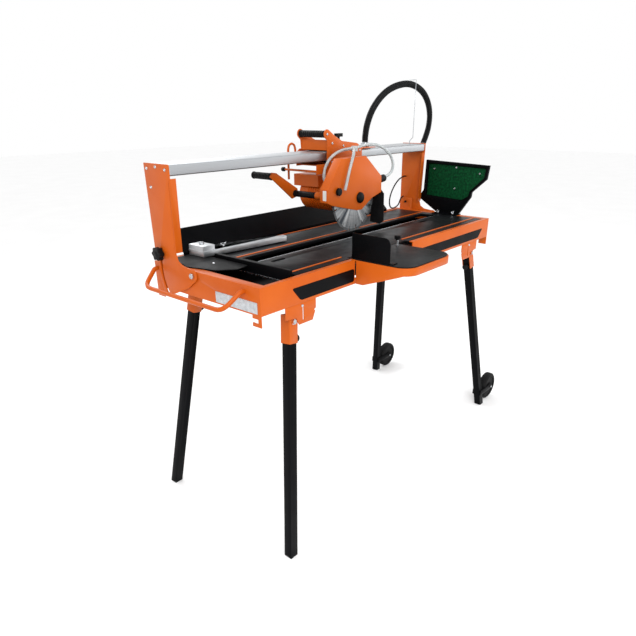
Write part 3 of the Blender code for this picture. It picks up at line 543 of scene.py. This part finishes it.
def softened(node, edge_mm):
    """The finished copy of one of the frame's solids."""
    piece = bpy.data.objects.new(node + "_finished", NODES[node].data.copy())
    bpy.context.scene.collection.objects.link(piece)
    choose(piece, lambda centre, normal: True)
    bpy.ops.mesh.remove_doubles(threshold=0.01 * MM)
    bpy.ops.mesh.dissolve_limited(angle_limit=math.radians(0.5))
    bpy.ops.object.mode_set(mode="OBJECT")
    if edge_mm:
        round_edges(piece, edge_mm * MM)
    else:
        bpy.ops.object.shade_smooth_by_angle(angle=math.radians(50))
    return finish(piece, BODY_OF[node], SLOT_OF[node], replaces=[node])


FINISHED = {node: softened(node, edge_mm) for node, edge_mm in SOFT_EDGES.items()}
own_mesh(FINISHED["splash_flap"])
print("softened", len(FINISHED))

# %% [markdown]
# ## The corrugated conduit
# The motor's wires reach the sliding carriage through a corrugated conduit that arches over the
# right end of the rail. Its rings let it bend without kinking. It is a mesh tube: a ring of
# points is set across the route every millimetre, and every second pair of rings is smaller.
# One end stays on the post and the other follows the carriage.

# %% Conduit
HOSE_KNOTS = [
    (0.948, 0.366, 1.2080), (0.950, 0.366, 1.235), (0.962, 0.367, 1.275), (0.992, 0.368, 1.322),
    (1.040, 0.369, 1.364), (1.100, 0.370, 1.396), (1.170, 0.370, 1.416), (1.245, 0.370, 1.424),
    (1.315, 0.370, 1.415), (1.378, 0.370, 1.390), (1.422, 0.370, 1.350), (1.442, 0.370, 1.302),
    (1.438, 0.370, 1.252), (1.420, 0.370, 1.214), (1.405, 0.372, 1.186),
]
HOSE_RADIUS = 13.0 * MM
RIB_PITCH = 4.0 * MM
RIB_DEPTH = 1.3 * MM
RINGS_PER_RIB = 4


def smooth_path(knots, per_span):
    """A Catmull-Rom curve through the knots."""
    knots = [Vector(knot) for knot in knots]
    ends = [knots[0] * 2 - knots[1]] + knots + [knots[-1] * 2 - knots[-2]]
    path = []
    for index in range(1, len(ends) - 2):
        a, b, c, d = ends[index - 1:index + 3]
        for step in range(per_span):
            t = step / per_span
            path.append(0.5 * (2 * b + (c - a) * t + (2 * a - 5 * b + 4 * c - d) * t ** 2
                               + (3 * b - a - 3 * c + d) * t ** 3))
    path.append(knots[-1])
    return path


def path_length(path):
    """The length of a path in metres."""
    return sum((b - a).length for a, b in zip(path, path[1:]))


def evenly(path, spacing):
    """Points at an even spacing along a path."""
    count = max(2, round(path_length(path) / spacing))
    step = path_length(path) / count
    points, travelled, target = [path[0]], 0.0, step
    for a, b in zip(path, path[1:]):
        span = (b - a).length
        while travelled + span >= target and len(points) < count:
            points.append(a.lerp(b, (target - travelled) / span))
            target += step
        travelled += span
    points.append(path[-1])
    return points


def corrugated(name, path, radius, depth, sides=14):
    """A ribbed mesh tube along evenly spaced points, closed at both ends."""
    vertices, faces = [], []
    side = Vector((0, 1, 0))
    for index, point in enumerate(path):
        ahead = (path[min(index + 1, len(path) - 1)] - path[max(index - 1, 0)]).normalized()
        side = (side - ahead * side.dot(ahead)).normalized()
        up = ahead.cross(side)
        reach = radius - depth * (index % RINGS_PER_RIB >= RINGS_PER_RIB // 2)
        for turn in range(sides):
            angle = 2 * math.pi * turn / sides
            vertices.append(point + (side * math.cos(angle) + up * math.sin(angle)) * reach)
    for ring in range(len(path) - 1):
        for turn in range(sides):
            after = (turn + 1) % sides
            faces.append((ring * sides + turn, ring * sides + after, (ring + 1) * sides + after,
                          (ring + 1) * sides + turn))
    faces.append(tuple(range(sides)))
    faces.append(tuple(reversed(range(len(vertices) - sides, len(vertices)))))
    mesh = bpy.data.meshes.new(name)
    mesh.from_pydata(vertices, [], faces)
    piece = bpy.data.objects.new(name, mesh)
    bpy.context.scene.collection.objects.link(piece)
    choose(piece, lambda centre, normal: True)
    bpy.ops.mesh.normals_make_consistent(inside=False)
    bpy.ops.object.mode_set(mode="OBJECT")
    bpy.ops.object.shade_smooth_by_angle(angle=math.radians(60))
    return piece


hose_route = evenly([spot(*p) for p in smooth_path(HOSE_KNOTS, 8)], RIB_PITCH / RINGS_PER_RIB)
conduit = corrugated("conduit", hose_route, HOSE_RADIUS, RIB_DEPTH)
conduit.data.materials.append(FINISH["hose_plastic"])
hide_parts("conduit_hose")
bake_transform(conduit)
print("conduit length", round(path_length(hose_route), 3), "rings", len(hose_route))

# %% [markdown]
# ## Grips
# The three push grips are rubber sleeves with rings moulded round them, and a collar at each
# end that keeps the hand in place. Each is grown from a disc, ring by ring.

# %% Grips
GRIP_RINGS = 11
# The sleeve's radius between its rings and on them, as parts of the collar's radius.
GROOVE, RING = 0.84, 0.93


def ribbed_grip(node):
    """A rubber sleeve with moulded rings, in the place of one of the frame's plain grips."""
    low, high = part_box(node)
    radius = (high.x - low.x) / 2
    length = high.y - low.y
    collar = 0.06 * length
    pitch = (length - 2 * collar) / GRIP_RINGS
    steps = [(0.001, radius), (collar - 0.002, radius), (0.001, radius * GROOVE)]
    for _ in range(GRIP_RINGS):
        steps += [(pitch * 0.25, radius * GROOVE), (pitch * 0.2, radius * RING),
                  (pitch * 0.35, radius * RING), (pitch * 0.2, radius * GROOVE)]
    steps += [(0.001, radius), (collar - 0.002, radius), (0.001, radius * 0.92)]
    grip = grow(node + "_ribbed", 32, radius * 0.92, steps)
    bpy.ops.object.shade_smooth_by_angle(angle=math.radians(40))
    stand(grip, ((low.x + high.x) / 2, low.y, (low.z + high.z) / 2), (0, 1, 0))
    return finish(grip, BODY_OF[node], SLOT_OF[node], replaces=[node])


for node in ("handle_grip", "grip_rear", "grip_side"):
    ribbed_grip(node)
print("grips 3")

# %% [markdown]
# ## The motor
# The motor drives the blade directly. Its casing has cooling ribs all round, a flat flange at
# the blade end, a fan cover at the back and a terminal box on top.

# %% Motor
motor_low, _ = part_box("motor_housing")
MOTOR_RADIUS = 0.060
MOTOR_LENGTH = spot(0, 0.490, 0).y - motor_low.y
MOTOR_RIBS = 12
MOTOR_SIDES = 64
BODY_RADIUS = MOTOR_RADIUS * 0.93
RIB_RADIUS = MOTOR_RADIUS * 0.985
steps = [(0.002, MOTOR_RADIUS), (0.010, MOTOR_RADIUS), (0.001, BODY_RADIUS), (0.012, BODY_RADIUS)]
rib_pitch = (MOTOR_LENGTH - 0.085) / MOTOR_RIBS
for _ in range(MOTOR_RIBS):
    steps += [(0.0008, RIB_RADIUS), (rib_pitch * 0.3, RIB_RADIUS), (0.0008, BODY_RADIUS),
              (rib_pitch * 0.7 - 0.0016, BODY_RADIUS)]
steps += [(0.001, MOTOR_RADIUS * 0.97), (0.042, MOTOR_RADIUS * 0.96), (0.006, MOTOR_RADIUS * 0.88),
          (0.0035, MOTOR_RADIUS * 0.70)]
left = MOTOR_LENGTH - 0.001 - sum(rise for rise, _ in steps)
steps += [(left, MOTOR_RADIUS * 0.68)]
motor = grow("motor_casing", MOTOR_SIDES, MOTOR_RADIUS * 0.96, steps)
bpy.ops.object.shade_smooth_by_angle(angle=math.radians(35))
stand(motor, (BLADE_CENTRE.x, motor_low.y, BLADE_CENTRE.z), (0, 1, 0))
finish(motor, "head", "orange_paint", replaces=["motor_housing"])

terminal = block("terminal_box", spot(0.672, 0.375, 1.060), spot(0.788, 0.500, 1.103))
choose(terminal, lambda centre, normal: normal.z > 0.9)
bpy.ops.mesh.inset(thickness=0.004, depth=-0.0015)
bpy.ops.mesh.inset(thickness=0.002, depth=0.0013)
bpy.ops.object.mode_set(mode="OBJECT")
round_edges(terminal, 0.002)
finish(terminal, "head", "orange_paint")
print("motor length mm", round(MOTOR_LENGTH / MM))

# %% [markdown]
# ## The blade
# A diamond blade for tiles is a thin steel disc. Its rim is cut into segments by narrow slots
# that let water in and heat out, and each segment is a sintered layer a little thicker than
# the core. The disc is grown as a flat ring, and the slots are faces taken away.

# %% Blade
BLADE_RADIUS = (blade_high.x - blade_low.x) / 2
SEGMENTS = 18
FACES_PER_SEGMENT = 8
SEGMENT_HEIGHT = 9 * MM
RING_SIDES = SEGMENTS * FACES_PER_SEGMENT


def ring_disc(name, radii):
    """Flat rings between rising radii, with no thickness yet."""
    nothing_selected()
    bpy.ops.mesh.primitive_circle_add(vertices=RING_SIDES, radius=radii[0], fill_type="NOTHING")
    piece = bpy.context.object
    piece.name = name
    bpy.ops.object.mode_set(mode="EDIT")
    bpy.ops.mesh.select_mode(type="VERT")
    bpy.ops.mesh.select_all(action="SELECT")
    for inner, outer in zip(radii, radii[1:]):
        bpy.ops.mesh.extrude_region_move(TRANSFORM_OT_translate={"value": (0.0, 0.0, 0.0)})
        bpy.ops.transform.resize(value=(outer / inner, outer / inner, 1.0))
    bpy.ops.object.mode_set(mode="OBJECT")
    return piece


def thicken(piece, thickness):
    nothing_selected()
    piece.select_set(True)
    bpy.context.view_layer.objects.active = piece
    wall = piece.modifiers.new("wall", "SOLIDIFY")
    wall.thickness = thickness
    wall.offset = 0.0
    bpy.ops.object.modifier_apply(modifier=wall.name)
    bpy.ops.object.mode_set(mode="EDIT")
    bpy.ops.mesh.select_all(action="SELECT")
    bpy.ops.mesh.normals_make_consistent(inside=False)
    bpy.ops.object.mode_set(mode="OBJECT")


def face_index(centre):
    """Which of the ring's faces lies at this place, counted round from +X."""
    turn = math.atan2(centre.y, centre.x) % (2 * math.pi)
    return int(turn / (2 * math.pi) * RING_SIDES) % RING_SIDES


CORE_TOP = BLADE_RADIUS - SEGMENT_HEIGHT
core = ring_disc("blade_core", (0.0127, 0.032, 0.080, CORE_TOP - 0.012, CORE_TOP))
choose(core, lambda c, n: c.length > CORE_TOP - 0.010 and face_index(c) % FACES_PER_SEGMENT == 0)
bpy.ops.mesh.delete(type="FACE")
bpy.ops.object.mode_set(mode="OBJECT")
thicken(core, 0.0018)
round_edges(core, 0.0002, 1, 60)
stand(core, BLADE_CENTRE, (0, 1, 0))
finish(core, "blade", "blade_steel", replaces=["saw_blade"])

rim = ring_disc("blade_segments", (CORE_TOP, BLADE_RADIUS))
choose(rim, lambda c, n: face_index(c) % FACES_PER_SEGMENT == 0)
bpy.ops.mesh.delete(type="FACE")
bpy.ops.object.mode_set(mode="OBJECT")
thicken(rim, 0.0024)
stand(rim, BLADE_CENTRE, (0, 1, 0))
finish(rim, "blade", "blade_steel", SEGMENT)
print("blade radius mm", round(BLADE_RADIUS / MM), "segments", SEGMENTS)

# %% [markdown]
# ## Wheels
# Two solid wheels let one person tip and roll the saw. Each is one moulded piece: a rounded
# tread with a groove, and a hub dished on both sides. A bright nut holds it on its axle.

# %% Wheels
TYRE_SIDES = 60


def wheel(node):
    """A dished wheel; returns its centre and its width, which its axle nuts need."""
    low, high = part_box(node)
    centre = (low + high) / 2
    radius = (high.x - low.x) / 2
    width = high.y - low.y
    shoulder, crown = radius * 0.93, radius * 0.985
    steps = [(0.10 * width, shoulder), (0.10 * width, crown), (0.14 * width, radius),
             (0.10 * width, radius), (0.001, crown), (0.10 * width, crown), (0.001, radius),
             (0.14 * width, radius), (0.14 * width, crown), (0.10 * width, shoulder)]
    rise = sum(step[0] for step in steps)
    steps.append((width - rise, radius * 0.84))
    tyre = grow(node + "_tyre", TYRE_SIDES, radius * 0.84, steps)
    for side in (-1, 1):
        choose(tyre, lambda c, n: n.z * side > 0.9 and Vector((c.x, c.y)).length < 0.01)
        for shrink, depth in ((radius * 0.10, 0.0), (0.0015, -0.0045),
                              (radius * 0.40, 0.0), (0.003, 0.0045)):
            bpy.ops.mesh.inset(thickness=shrink, depth=depth)
        bpy.ops.object.mode_set(mode="OBJECT")
    bpy.ops.object.shade_smooth_by_angle(angle=math.radians(35))
    stand(tyre, (centre.x, low.y, centre.z), (0, 1, 0))
    finish(tyre, BODY_OF[node], SLOT_OF[node], replaces=[node])
    return centre, width


WHEELS = {node: wheel(node) for node in ("wheel_front_right", "wheel_rear_right")}
print("wheels", len(WHEELS))

# %% [markdown]
# ## Screws, bolts and rivets
# The rail, brackets and guards are held by a few kinds of fastener. Each kind is modelled once
# and copied, each copy with its own mesh, so it can stand at its own place and angle.

# %% Fastener patterns
def pattern_from(piece):
    """Keeps a piece's mesh as a pattern and takes the piece itself away."""
    mesh = piece.data.copy()
    bpy.data.objects.remove(piece, do_unlink=True)
    return mesh


def socket_screw_pattern():
    """A button head, 9 mm across, with a six-sided socket."""
    head = grow("button_head", 24, 4.6 * MM,
                [(1.2 * MM, 4.6 * MM), (1.0 * MM, 3.9 * MM), (0.5 * MM, 2.4 * MM)])
    choose(head, lambda c, n: n.z > 0.9 and c.z > 2 * MM)
    bpy.ops.mesh.inset(thickness=0.6 * MM, depth=0.0)
    bpy.ops.mesh.inset(thickness=0.1 * MM, depth=-1.4 * MM)
    bpy.ops.object.mode_set(mode="OBJECT")
    bpy.ops.object.shade_smooth_by_angle(angle=math.radians(35))
    return pattern_from(head)


def hexagon_pattern():
    """A hexagon head, 15 mm across, on a flat washer."""
    head = grow("hexagon_washer", 32, 9.0 * MM, [(1.2 * MM, 9.0 * MM)])
    hexagon = grow("hexagon_head", 6, 7.6 * MM, [(5.0 * MM, 7.6 * MM), (0.8 * MM, 6.6 * MM)])
    hexagon.data.transform(Matrix.Translation((0, 0, 1.2 * MM)))
    nothing_selected()
    hexagon.select_set(True)
    head.select_set(True)
    bpy.context.view_layer.objects.active = head
    bpy.ops.object.join()
    return pattern_from(head)


def wing_nut_pattern():
    """A threaded boss with two upright wings."""
    boss = grow("wing_boss", 24, 4.5 * MM, [(5.0 * MM, 3.8 * MM), (0.6 * MM, 3.0 * MM)])
    wings = []
    for side in (-1, 1):
        wing = block("wing", (3.0 * MM * side, -1.2 * MM, 1.0 * MM),
                     (11.0 * MM * side, 1.2 * MM, 9.0 * MM))
        choose(wing, lambda c, n: n.x * side > 0.9)
        bpy.ops.transform.translate(value=(1.5 * MM * side, 0.0, 3.0 * MM))
        bpy.ops.object.mode_set(mode="OBJECT")
        round_edges(wing, 0.9 * MM)
        wings.append(wing)
    nothing_selected()
    for piece in wings + [boss]:
        piece.select_set(True)
    bpy.context.view_layer.objects.active = boss
    bpy.ops.object.join()
    choose(boss, lambda centre, normal: True)
    bpy.ops.mesh.normals_make_consistent(inside=False)
    bpy.ops.object.mode_set(mode="OBJECT")
    bpy.ops.object.shade_smooth_by_angle(angle=math.radians(40))
    return pattern_from(boss)


PATTERNS = {"screw": socket_screw_pattern(), "hexagon": hexagon_pattern(),
            "wing_nut": wing_nut_pattern()}


def fasten(kind, name, place, axis, body, slot="zinc_steel"):
    """One more fastener of a kind, with its seat at a place and its head along an axis."""
    piece = bpy.data.objects.new(name, PATTERNS[kind].copy())
    bpy.context.scene.collection.objects.link(piece)
    stand(piece, place, axis)
    return finish(piece, body, slot)


# %% [markdown]
# Now the fasteners go to their places. Each face they sit on is read from the frame, and only
# the place on that face is given here.

# %% Fasteners in place
RAIL_SCREWS = ((0.362, 1.172), (0.407, 1.178), (0.452, 1.172), (0.440, 1.120))
LINER_RIVETS = ((0.075, 1.070), (0.190, 1.090), (0.300, 1.080), (0.190, 1.000))
TABLE_LENGTH, SCREW_X = 1.380, 0.166
CHEEK_SCREWS = ((0.700, 1.215), (0.765, 1.204), (0.866, 1.184), (0.700, 1.150))
count = 0
for side, out in (("left", -1), ("right", 1)):
    post_low, post_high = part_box(side + "_post")
    face = post_low.x if out < 0 else post_high.x
    for y, z in RAIL_SCREWS:
        at = spot(0, y, z)
        fasten("screw", "rail_screw_%d" % count, (face, at.y, at.z), (out, 0, 0), "bridge")
        count += 1
for end in ENDS:
    mirror_x = 1 if "left" in end else -1
    mirror_y = 1 if "front" in end else -1
    pivot = JOINT["leg_fold_" + end]["pos_m"]
    out = Vector((0, -mirror_y, 0.12))
    fasten("hexagon", "leg_bolt_" + end, Vector(pivot) + out * 18.0 * MM, out, "base")
    at = spot(SCREW_X if mirror_x > 0 else TABLE_LENGTH - SCREW_X, 0, 0.803)
    plate_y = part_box("table_frame")[0 if mirror_y > 0 else 1].y
    fasten("screw", "bracket_screw_" + end, (at.x, plate_y, at.z), (0, -mirror_y, 0), "base")
    count += 2
for node, (centre, width) in WHEELS.items():
    for side in (-1, 1):
        fasten("screw", "axle_nut_%s_%d" % (node, (side + 1) // 2),
               centre + Vector((0, side * (width / 2 + 8.0 * MM), 0)), (0, side, 0),
               "leg_" + node.removeprefix("wheel_"))
        count += 1
for index, (y, z) in enumerate(LINER_RIVETS):
    liner_low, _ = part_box("guard_liner")
    at = spot(0, y, z)
    fasten("screw", "liner_rivet_%d" % index, (liner_low.x, at.y, at.z), (-1, 0, 0), "base")
    count += 1
for index, y in enumerate((0.164, 0.2365)):
    fasten("wing_nut", "guard_wing_nut_%d" % index, spot(1.352, y, 0.8975), (0, 0, 1), "base")
    count += 1
fasten("wing_nut", "mitre_wing_nut", spot(0.215, 0.400, 0.914), (0, 0, 1), "mitre")
fasten("hexagon", "mitre_pivot_screw", spot(0.140, 0.418, 0.930), (0, 0, 1), "mitre")
fasten("screw", "mitre_base_screw", spot(0.090, 0.300, 0.8954), (0, 0, 1), "base")
grip_low, grip_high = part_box("handle_grip")
grip_middle = (grip_low + grip_high) / 2
CHEEK_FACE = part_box("carriage_frame")[0].y
fasten("screw", "grip_screw", (grip_middle.x, CHEEK_FACE, grip_middle.z), (0, -1, 0), "carriage")
for index, (x, z) in enumerate(CHEEK_SCREWS):
    at = spot(x, 0, z)
    fasten("screw", "cheek_screw_%d" % index, (at.x, CHEEK_FACE, at.z), (0, -1, 0), "carriage")
print("fasteners", count + 8)

# %% [markdown]
# ## Knobs
# The leg knobs and the extension's two taller knobs are scalloped plastic clamping knobs. Each
# starts as a disc, and every other side face is pressed in to give the fingers a hold. The two
# star knobs that lock the bridge come from the frame, and get a small domed cap.

# %% Knobs
KNOB_SIDES = 20
LEG_KNOB_RADIUS, LEG_KNOB_LENGTH = 12.0 * MM, 19.5 * MM
CROWN_LENGTH = 16.0 * MM


def scalloped_knob(name, radius, length):
    """A hand knob with pressed-in flutes round its rim and a rounded crown."""
    neck = radius * 0.62
    knob = grow(name, KNOB_SIDES, neck,
                [(length * 0.22, neck), (length * 0.06, radius), (length * 0.55, radius),
                 (length * 0.12, radius * 0.86), (length * 0.05, radius * 0.5)])
    flat = math.cos(math.pi / KNOB_SIDES)
    choose(knob, lambda c, n: abs(n.z) < 0.1 and Vector((c.x, c.y)).length > radius * flat * 0.99
           and int((math.atan2(c.y, c.x) % (2 * math.pi)) / (2 * math.pi) * KNOB_SIDES) % 2 == 0)
    bpy.ops.mesh.inset(thickness=radius * 0.05, depth=-radius * 0.12, use_individual=True)
    bpy.ops.object.mode_set(mode="OBJECT")
    return round_edges(knob, radius * 0.04, 1, 25)


for end in ENDS:
    node = "leg_knob_" + end
    joint = JOINT[node + "_turn"]
    out = Vector(joint["axis"]) * (1 if "left" in end else -1)
    knob = scalloped_knob(node + "_scalloped", LEG_KNOB_RADIUS, LEG_KNOB_LENGTH)
    stand(knob, joint["pos_m"], out)
    finish(knob, BODY_OF[node], SLOT_OF[node], replaces=[node])
for side in ("left", "right"):
    node = "extension_knob_" + side
    low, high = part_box(node)
    centre = (low + high) / 2
    radius = (high.x - low.x) / 2
    stem = grow(node + "_stem", 24, 4.5 * MM,
                [(4.0 * MM, 4.5 * MM), (1.0 * MM, 3.6 * MM), (18.0 * MM, 3.6 * MM),
                 (0.5 * MM, 3.0 * MM)])
    bpy.ops.object.shade_smooth_by_angle(angle=math.radians(35))
    stand(stem, (centre.x, centre.y, low.z), (0, 0, 1))
    finish(stem, BODY_OF[node], "zinc_steel")
    crown = scalloped_knob(node + "_crown", radius, CROWN_LENGTH)
    stand(crown, (centre.x, centre.y, high.z - CROWN_LENGTH), (0, 0, 1))
    finish(crown, BODY_OF[node], SLOT_OF[node], replaces=[node])
for side, out in (("left", -1), ("right", 1)):
    low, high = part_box("tilt_knob_" + side)
    centre = (low + high) / 2
    face = low.x if out < 0 else high.x
    cap = grow("tilt_knob_cap_" + side, 32, 9.0 * MM,
               [(0.4 * MM, 9.0 * MM), (1.2 * MM, 7.8 * MM), (0.6 * MM, 5.0 * MM)])
    bpy.ops.object.shade_smooth_by_angle(angle=math.radians(50))
    stand(cap, (face - out * 0.3 * MM, centre.y, centre.z), (out, 0, 0))
    finish(cap, BODY_OF["tilt_knob_" + side], "black_plastic")
print("knobs", 8)

# %% [markdown]
# ## The hood's trim
# A domed cap covers the end of the spindle, a small knob locks the hood, a thick plastic elbow
# takes the water tube, and a blank label plate sits low on the left side.

# %% Hood trim
hood_low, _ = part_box("blade_hood")
DOME_RISE = 0.62      # the dome's height as a part of its radius
cap_low, cap_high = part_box("hood_cap")
CAP_RADIUS = (cap_high.x - cap_low.x) / 2
dome_steps = [(1.5 * MM, CAP_RADIUS)]
for angle in range(12, 85, 12):
    turn = math.radians(angle)
    lift = CAP_RADIUS * DOME_RISE * (math.sin(turn) - math.sin(turn - math.radians(12)))
    dome_steps.append((lift, CAP_RADIUS * math.cos(turn)))
dome = grow("spindle_cap", 40, CAP_RADIUS, dome_steps)
bpy.ops.object.shade_smooth_by_angle(angle=math.radians(45))
stand(dome, ((cap_low.x + cap_high.x) / 2, cap_high.y, (cap_low.z + cap_high.z) / 2), (0, -1, 0))
finish(dome, "head", "black_plastic", replaces=["hood_cap"])
hood_knob = scalloped_knob("hood_knob", 13.5 * MM, 13.0 * MM)
at = spot(0.602, 0, 1.063)
stand(hood_knob, (at.x, hood_low.y, at.z), (0, -1, 0))
finish(hood_knob, "head", "black_plastic")


def panel(name, low, high, corner, body, slot, material=None, corner_axis="y", slant=0.0):
    """A thin plate with rounded corners and a soft outer edge; a slant draws in a lower corner."""
    piece = block(name, low, high)
    middle = (Vector(low) + Vector(high)) / 2
    for vertex in piece.data.vertices:
        if vertex.co.z < middle.z and (vertex.co.x - middle.x) * slant < 0:
            vertex.co.x += slant
    index = "xyz".index(corner_axis)
    nothing_selected()
    piece.select_set(True)
    bpy.context.view_layer.objects.active = piece
    bpy.ops.object.mode_set(mode="EDIT")
    bpy.ops.mesh.select_mode(type="EDGE")
    bpy.ops.mesh.select_all(action="DESELECT")
    bpy.ops.object.mode_set(mode="OBJECT")
    for edge in piece.data.edges:
        a, b = (piece.data.vertices[i].co for i in edge.vertices)
        edge.select = abs((b - a).normalized()[index]) > 0.9
    bpy.ops.object.mode_set(mode="EDIT")
    bpy.ops.mesh.bevel(offset=corner, segments=6)
    bpy.ops.object.mode_set(mode="OBJECT")
    thinnest = min(Vector(high) - Vector(low))
    round_edges(piece, thinnest * 0.25, 1, 60)
    return finish(piece, body, slot, material)


elbow_start, elbow_end = spot(0.8728, 0.243, 1.079), spot(0.9155, 0.245, 1.083)
elbow_length = (elbow_end - elbow_start).length
elbow = grow("tube_elbow", 28, 11.5 * MM,
             [(1.5 * MM, 13.9 * MM), (elbow_length - 6.0 * MM, 13.9 * MM), (3.0 * MM, 13.0 * MM),
              (1.8 * MM, 10.0 * MM)])
bpy.ops.object.shade_smooth_by_angle(angle=math.radians(40))
stand(elbow, elbow_start, elbow_end - elbow_start)
finish(elbow, "head", "black_plastic")

side = hood_low.x
low, high = spot(0, 0.230, 1.036), spot(0, 0.246, 1.070)
panel("hood_label", (side - 0.5 * MM, low.y, low.z), (side + 0.1 * MM, high.y, high.z), 2.0 * MM,
      "head", "clear_tube", LABEL, corner_axis="x")
print("hood trim done")

# %% [markdown]
# ## Table trim
# Raised orange strips guide the tile on the rubber, a bright strip edges the blade slot, and a
# narrow steel rule runs along the foot of the fence. The frame's front has two black panels
# with a slanted outer end, and its left end a blank grey rating plate.

# %% Table trim
_, mat_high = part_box("table_mat")
TOP = mat_high.z
STRIP = 2.2 * MM
GUIDE_STRIPS = {
    "guide_strip_front_left": (0.172, 0.412, 0.049, 0.055),
    "guide_strip_front_right": (0.765, 1.335, 0.049, 0.055),
    "guide_strip_middle": (0.180, 1.335, 0.309, 0.315),
    "guide_strip_rear": (0.200, 1.330, 0.446, 0.452),
}
for name, (x0, x1, y0, y1) in GUIDE_STRIPS.items():
    low, high = spot(x0, y0, 0), spot(x1, y1, 0)
    panel(name, (low.x, low.y, TOP - 0.5 * MM), (high.x, high.y, TOP + STRIP), 2.0 * MM,
          "base", "orange_paint", corner_axis="z")
low, high = spot(0.204, 0.2185, 0), spot(1.296, 0.2213, 0)
panel("slot_edge_strip", (low.x, low.y, TOP - 0.6 * MM), (high.x, high.y, TOP + 0.6 * MM), 1.0 * MM,
      "base", "zinc_steel", corner_axis="z")
fence_low, fence_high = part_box("end_fence")
panel("end_rule", (fence_low.x - 2.2 * MM, fence_low.y, fence_low.z + 1 * MM),
      (fence_low.x - 0.2 * MM, fence_high.y - 4 * MM, fence_low.z + 6 * MM), 1.0 * MM,
      "base", "zinc_steel", corner_axis="x")

frame_low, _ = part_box("table_frame")
for name, (x0, x1), top, slant in (("front_panel_left", (0.124, 0.414), 0.863, 0.036),
                                   ("front_panel_right", (0.800, 1.325), 0.857, -0.036)):
    low, high = spot(x0, 0, 0.821), spot(x1, 0, top)
    panel(name, (low.x, frame_low.y - 0.7 * MM, low.z),
          (high.x, frame_low.y + 0.2 * MM, high.z), 9.0 * MM, "base", "black_paint", slant=slant)
low, high = spot(0, 0.012, 0.817), spot(0, 0.188, 0.850)
panel("rating_plate", (frame_low.x - 0.9 * MM, low.y, low.z),
      (frame_low.x + 0.1 * MM, high.y, high.z), 2.0 * MM, "base", "zinc_steel", corner_axis="x")
print("table trim done")

# %% [markdown]
# ## Small steel parts
# A flat foot carries the side guard and its two wing nuts. Behind the carriage's front cheek
# runs a stop rod with a plastic end knob, held by a short strap.

# %% Guard foot and stop rod
low, high = spot(1.335, 0.140, 0), spot(1.394, 0.262, 0)
panel("guard_foot", (low.x, low.y, TOP - 0.2 * MM), (high.x, high.y, TOP + 2.3 * MM), 5.0 * MM,
      "base", "black_paint", corner_axis="z")
ROD_RADIUS, ROD_LENGTH = 4.0 * MM, 165.0 * MM
ROD_FOOT = spot(0.620, 0.331, 1.122)
strap = block("stop_strap", spot(0.612, 0.3305, 1.112), spot(0.690, 0.3325, 1.146))
round_edges(strap, 0.5 * MM)
finish(strap, "carriage", "orange_paint")
rod = grow("stop_rod", 20, ROD_RADIUS, [(ROD_LENGTH, ROD_RADIUS), (0.6 * MM, 3.4 * MM)])
bpy.ops.object.shade_smooth_by_angle(angle=math.radians(40))
stand(rod, ROD_FOOT, (0, 1, 0))
finish(rod, "carriage", "orange_paint")
rod_knob = scalloped_knob("stop_rod_knob", 8.0 * MM, 18.0 * MM)
stand(rod_knob, ROD_FOOT + Vector((0, ROD_LENGTH - 2.0 * MM, 0)), (0, 1, 0))
finish(rod_knob, "carriage", "black_plastic")
print("small steel parts 4")

nothing_selected()
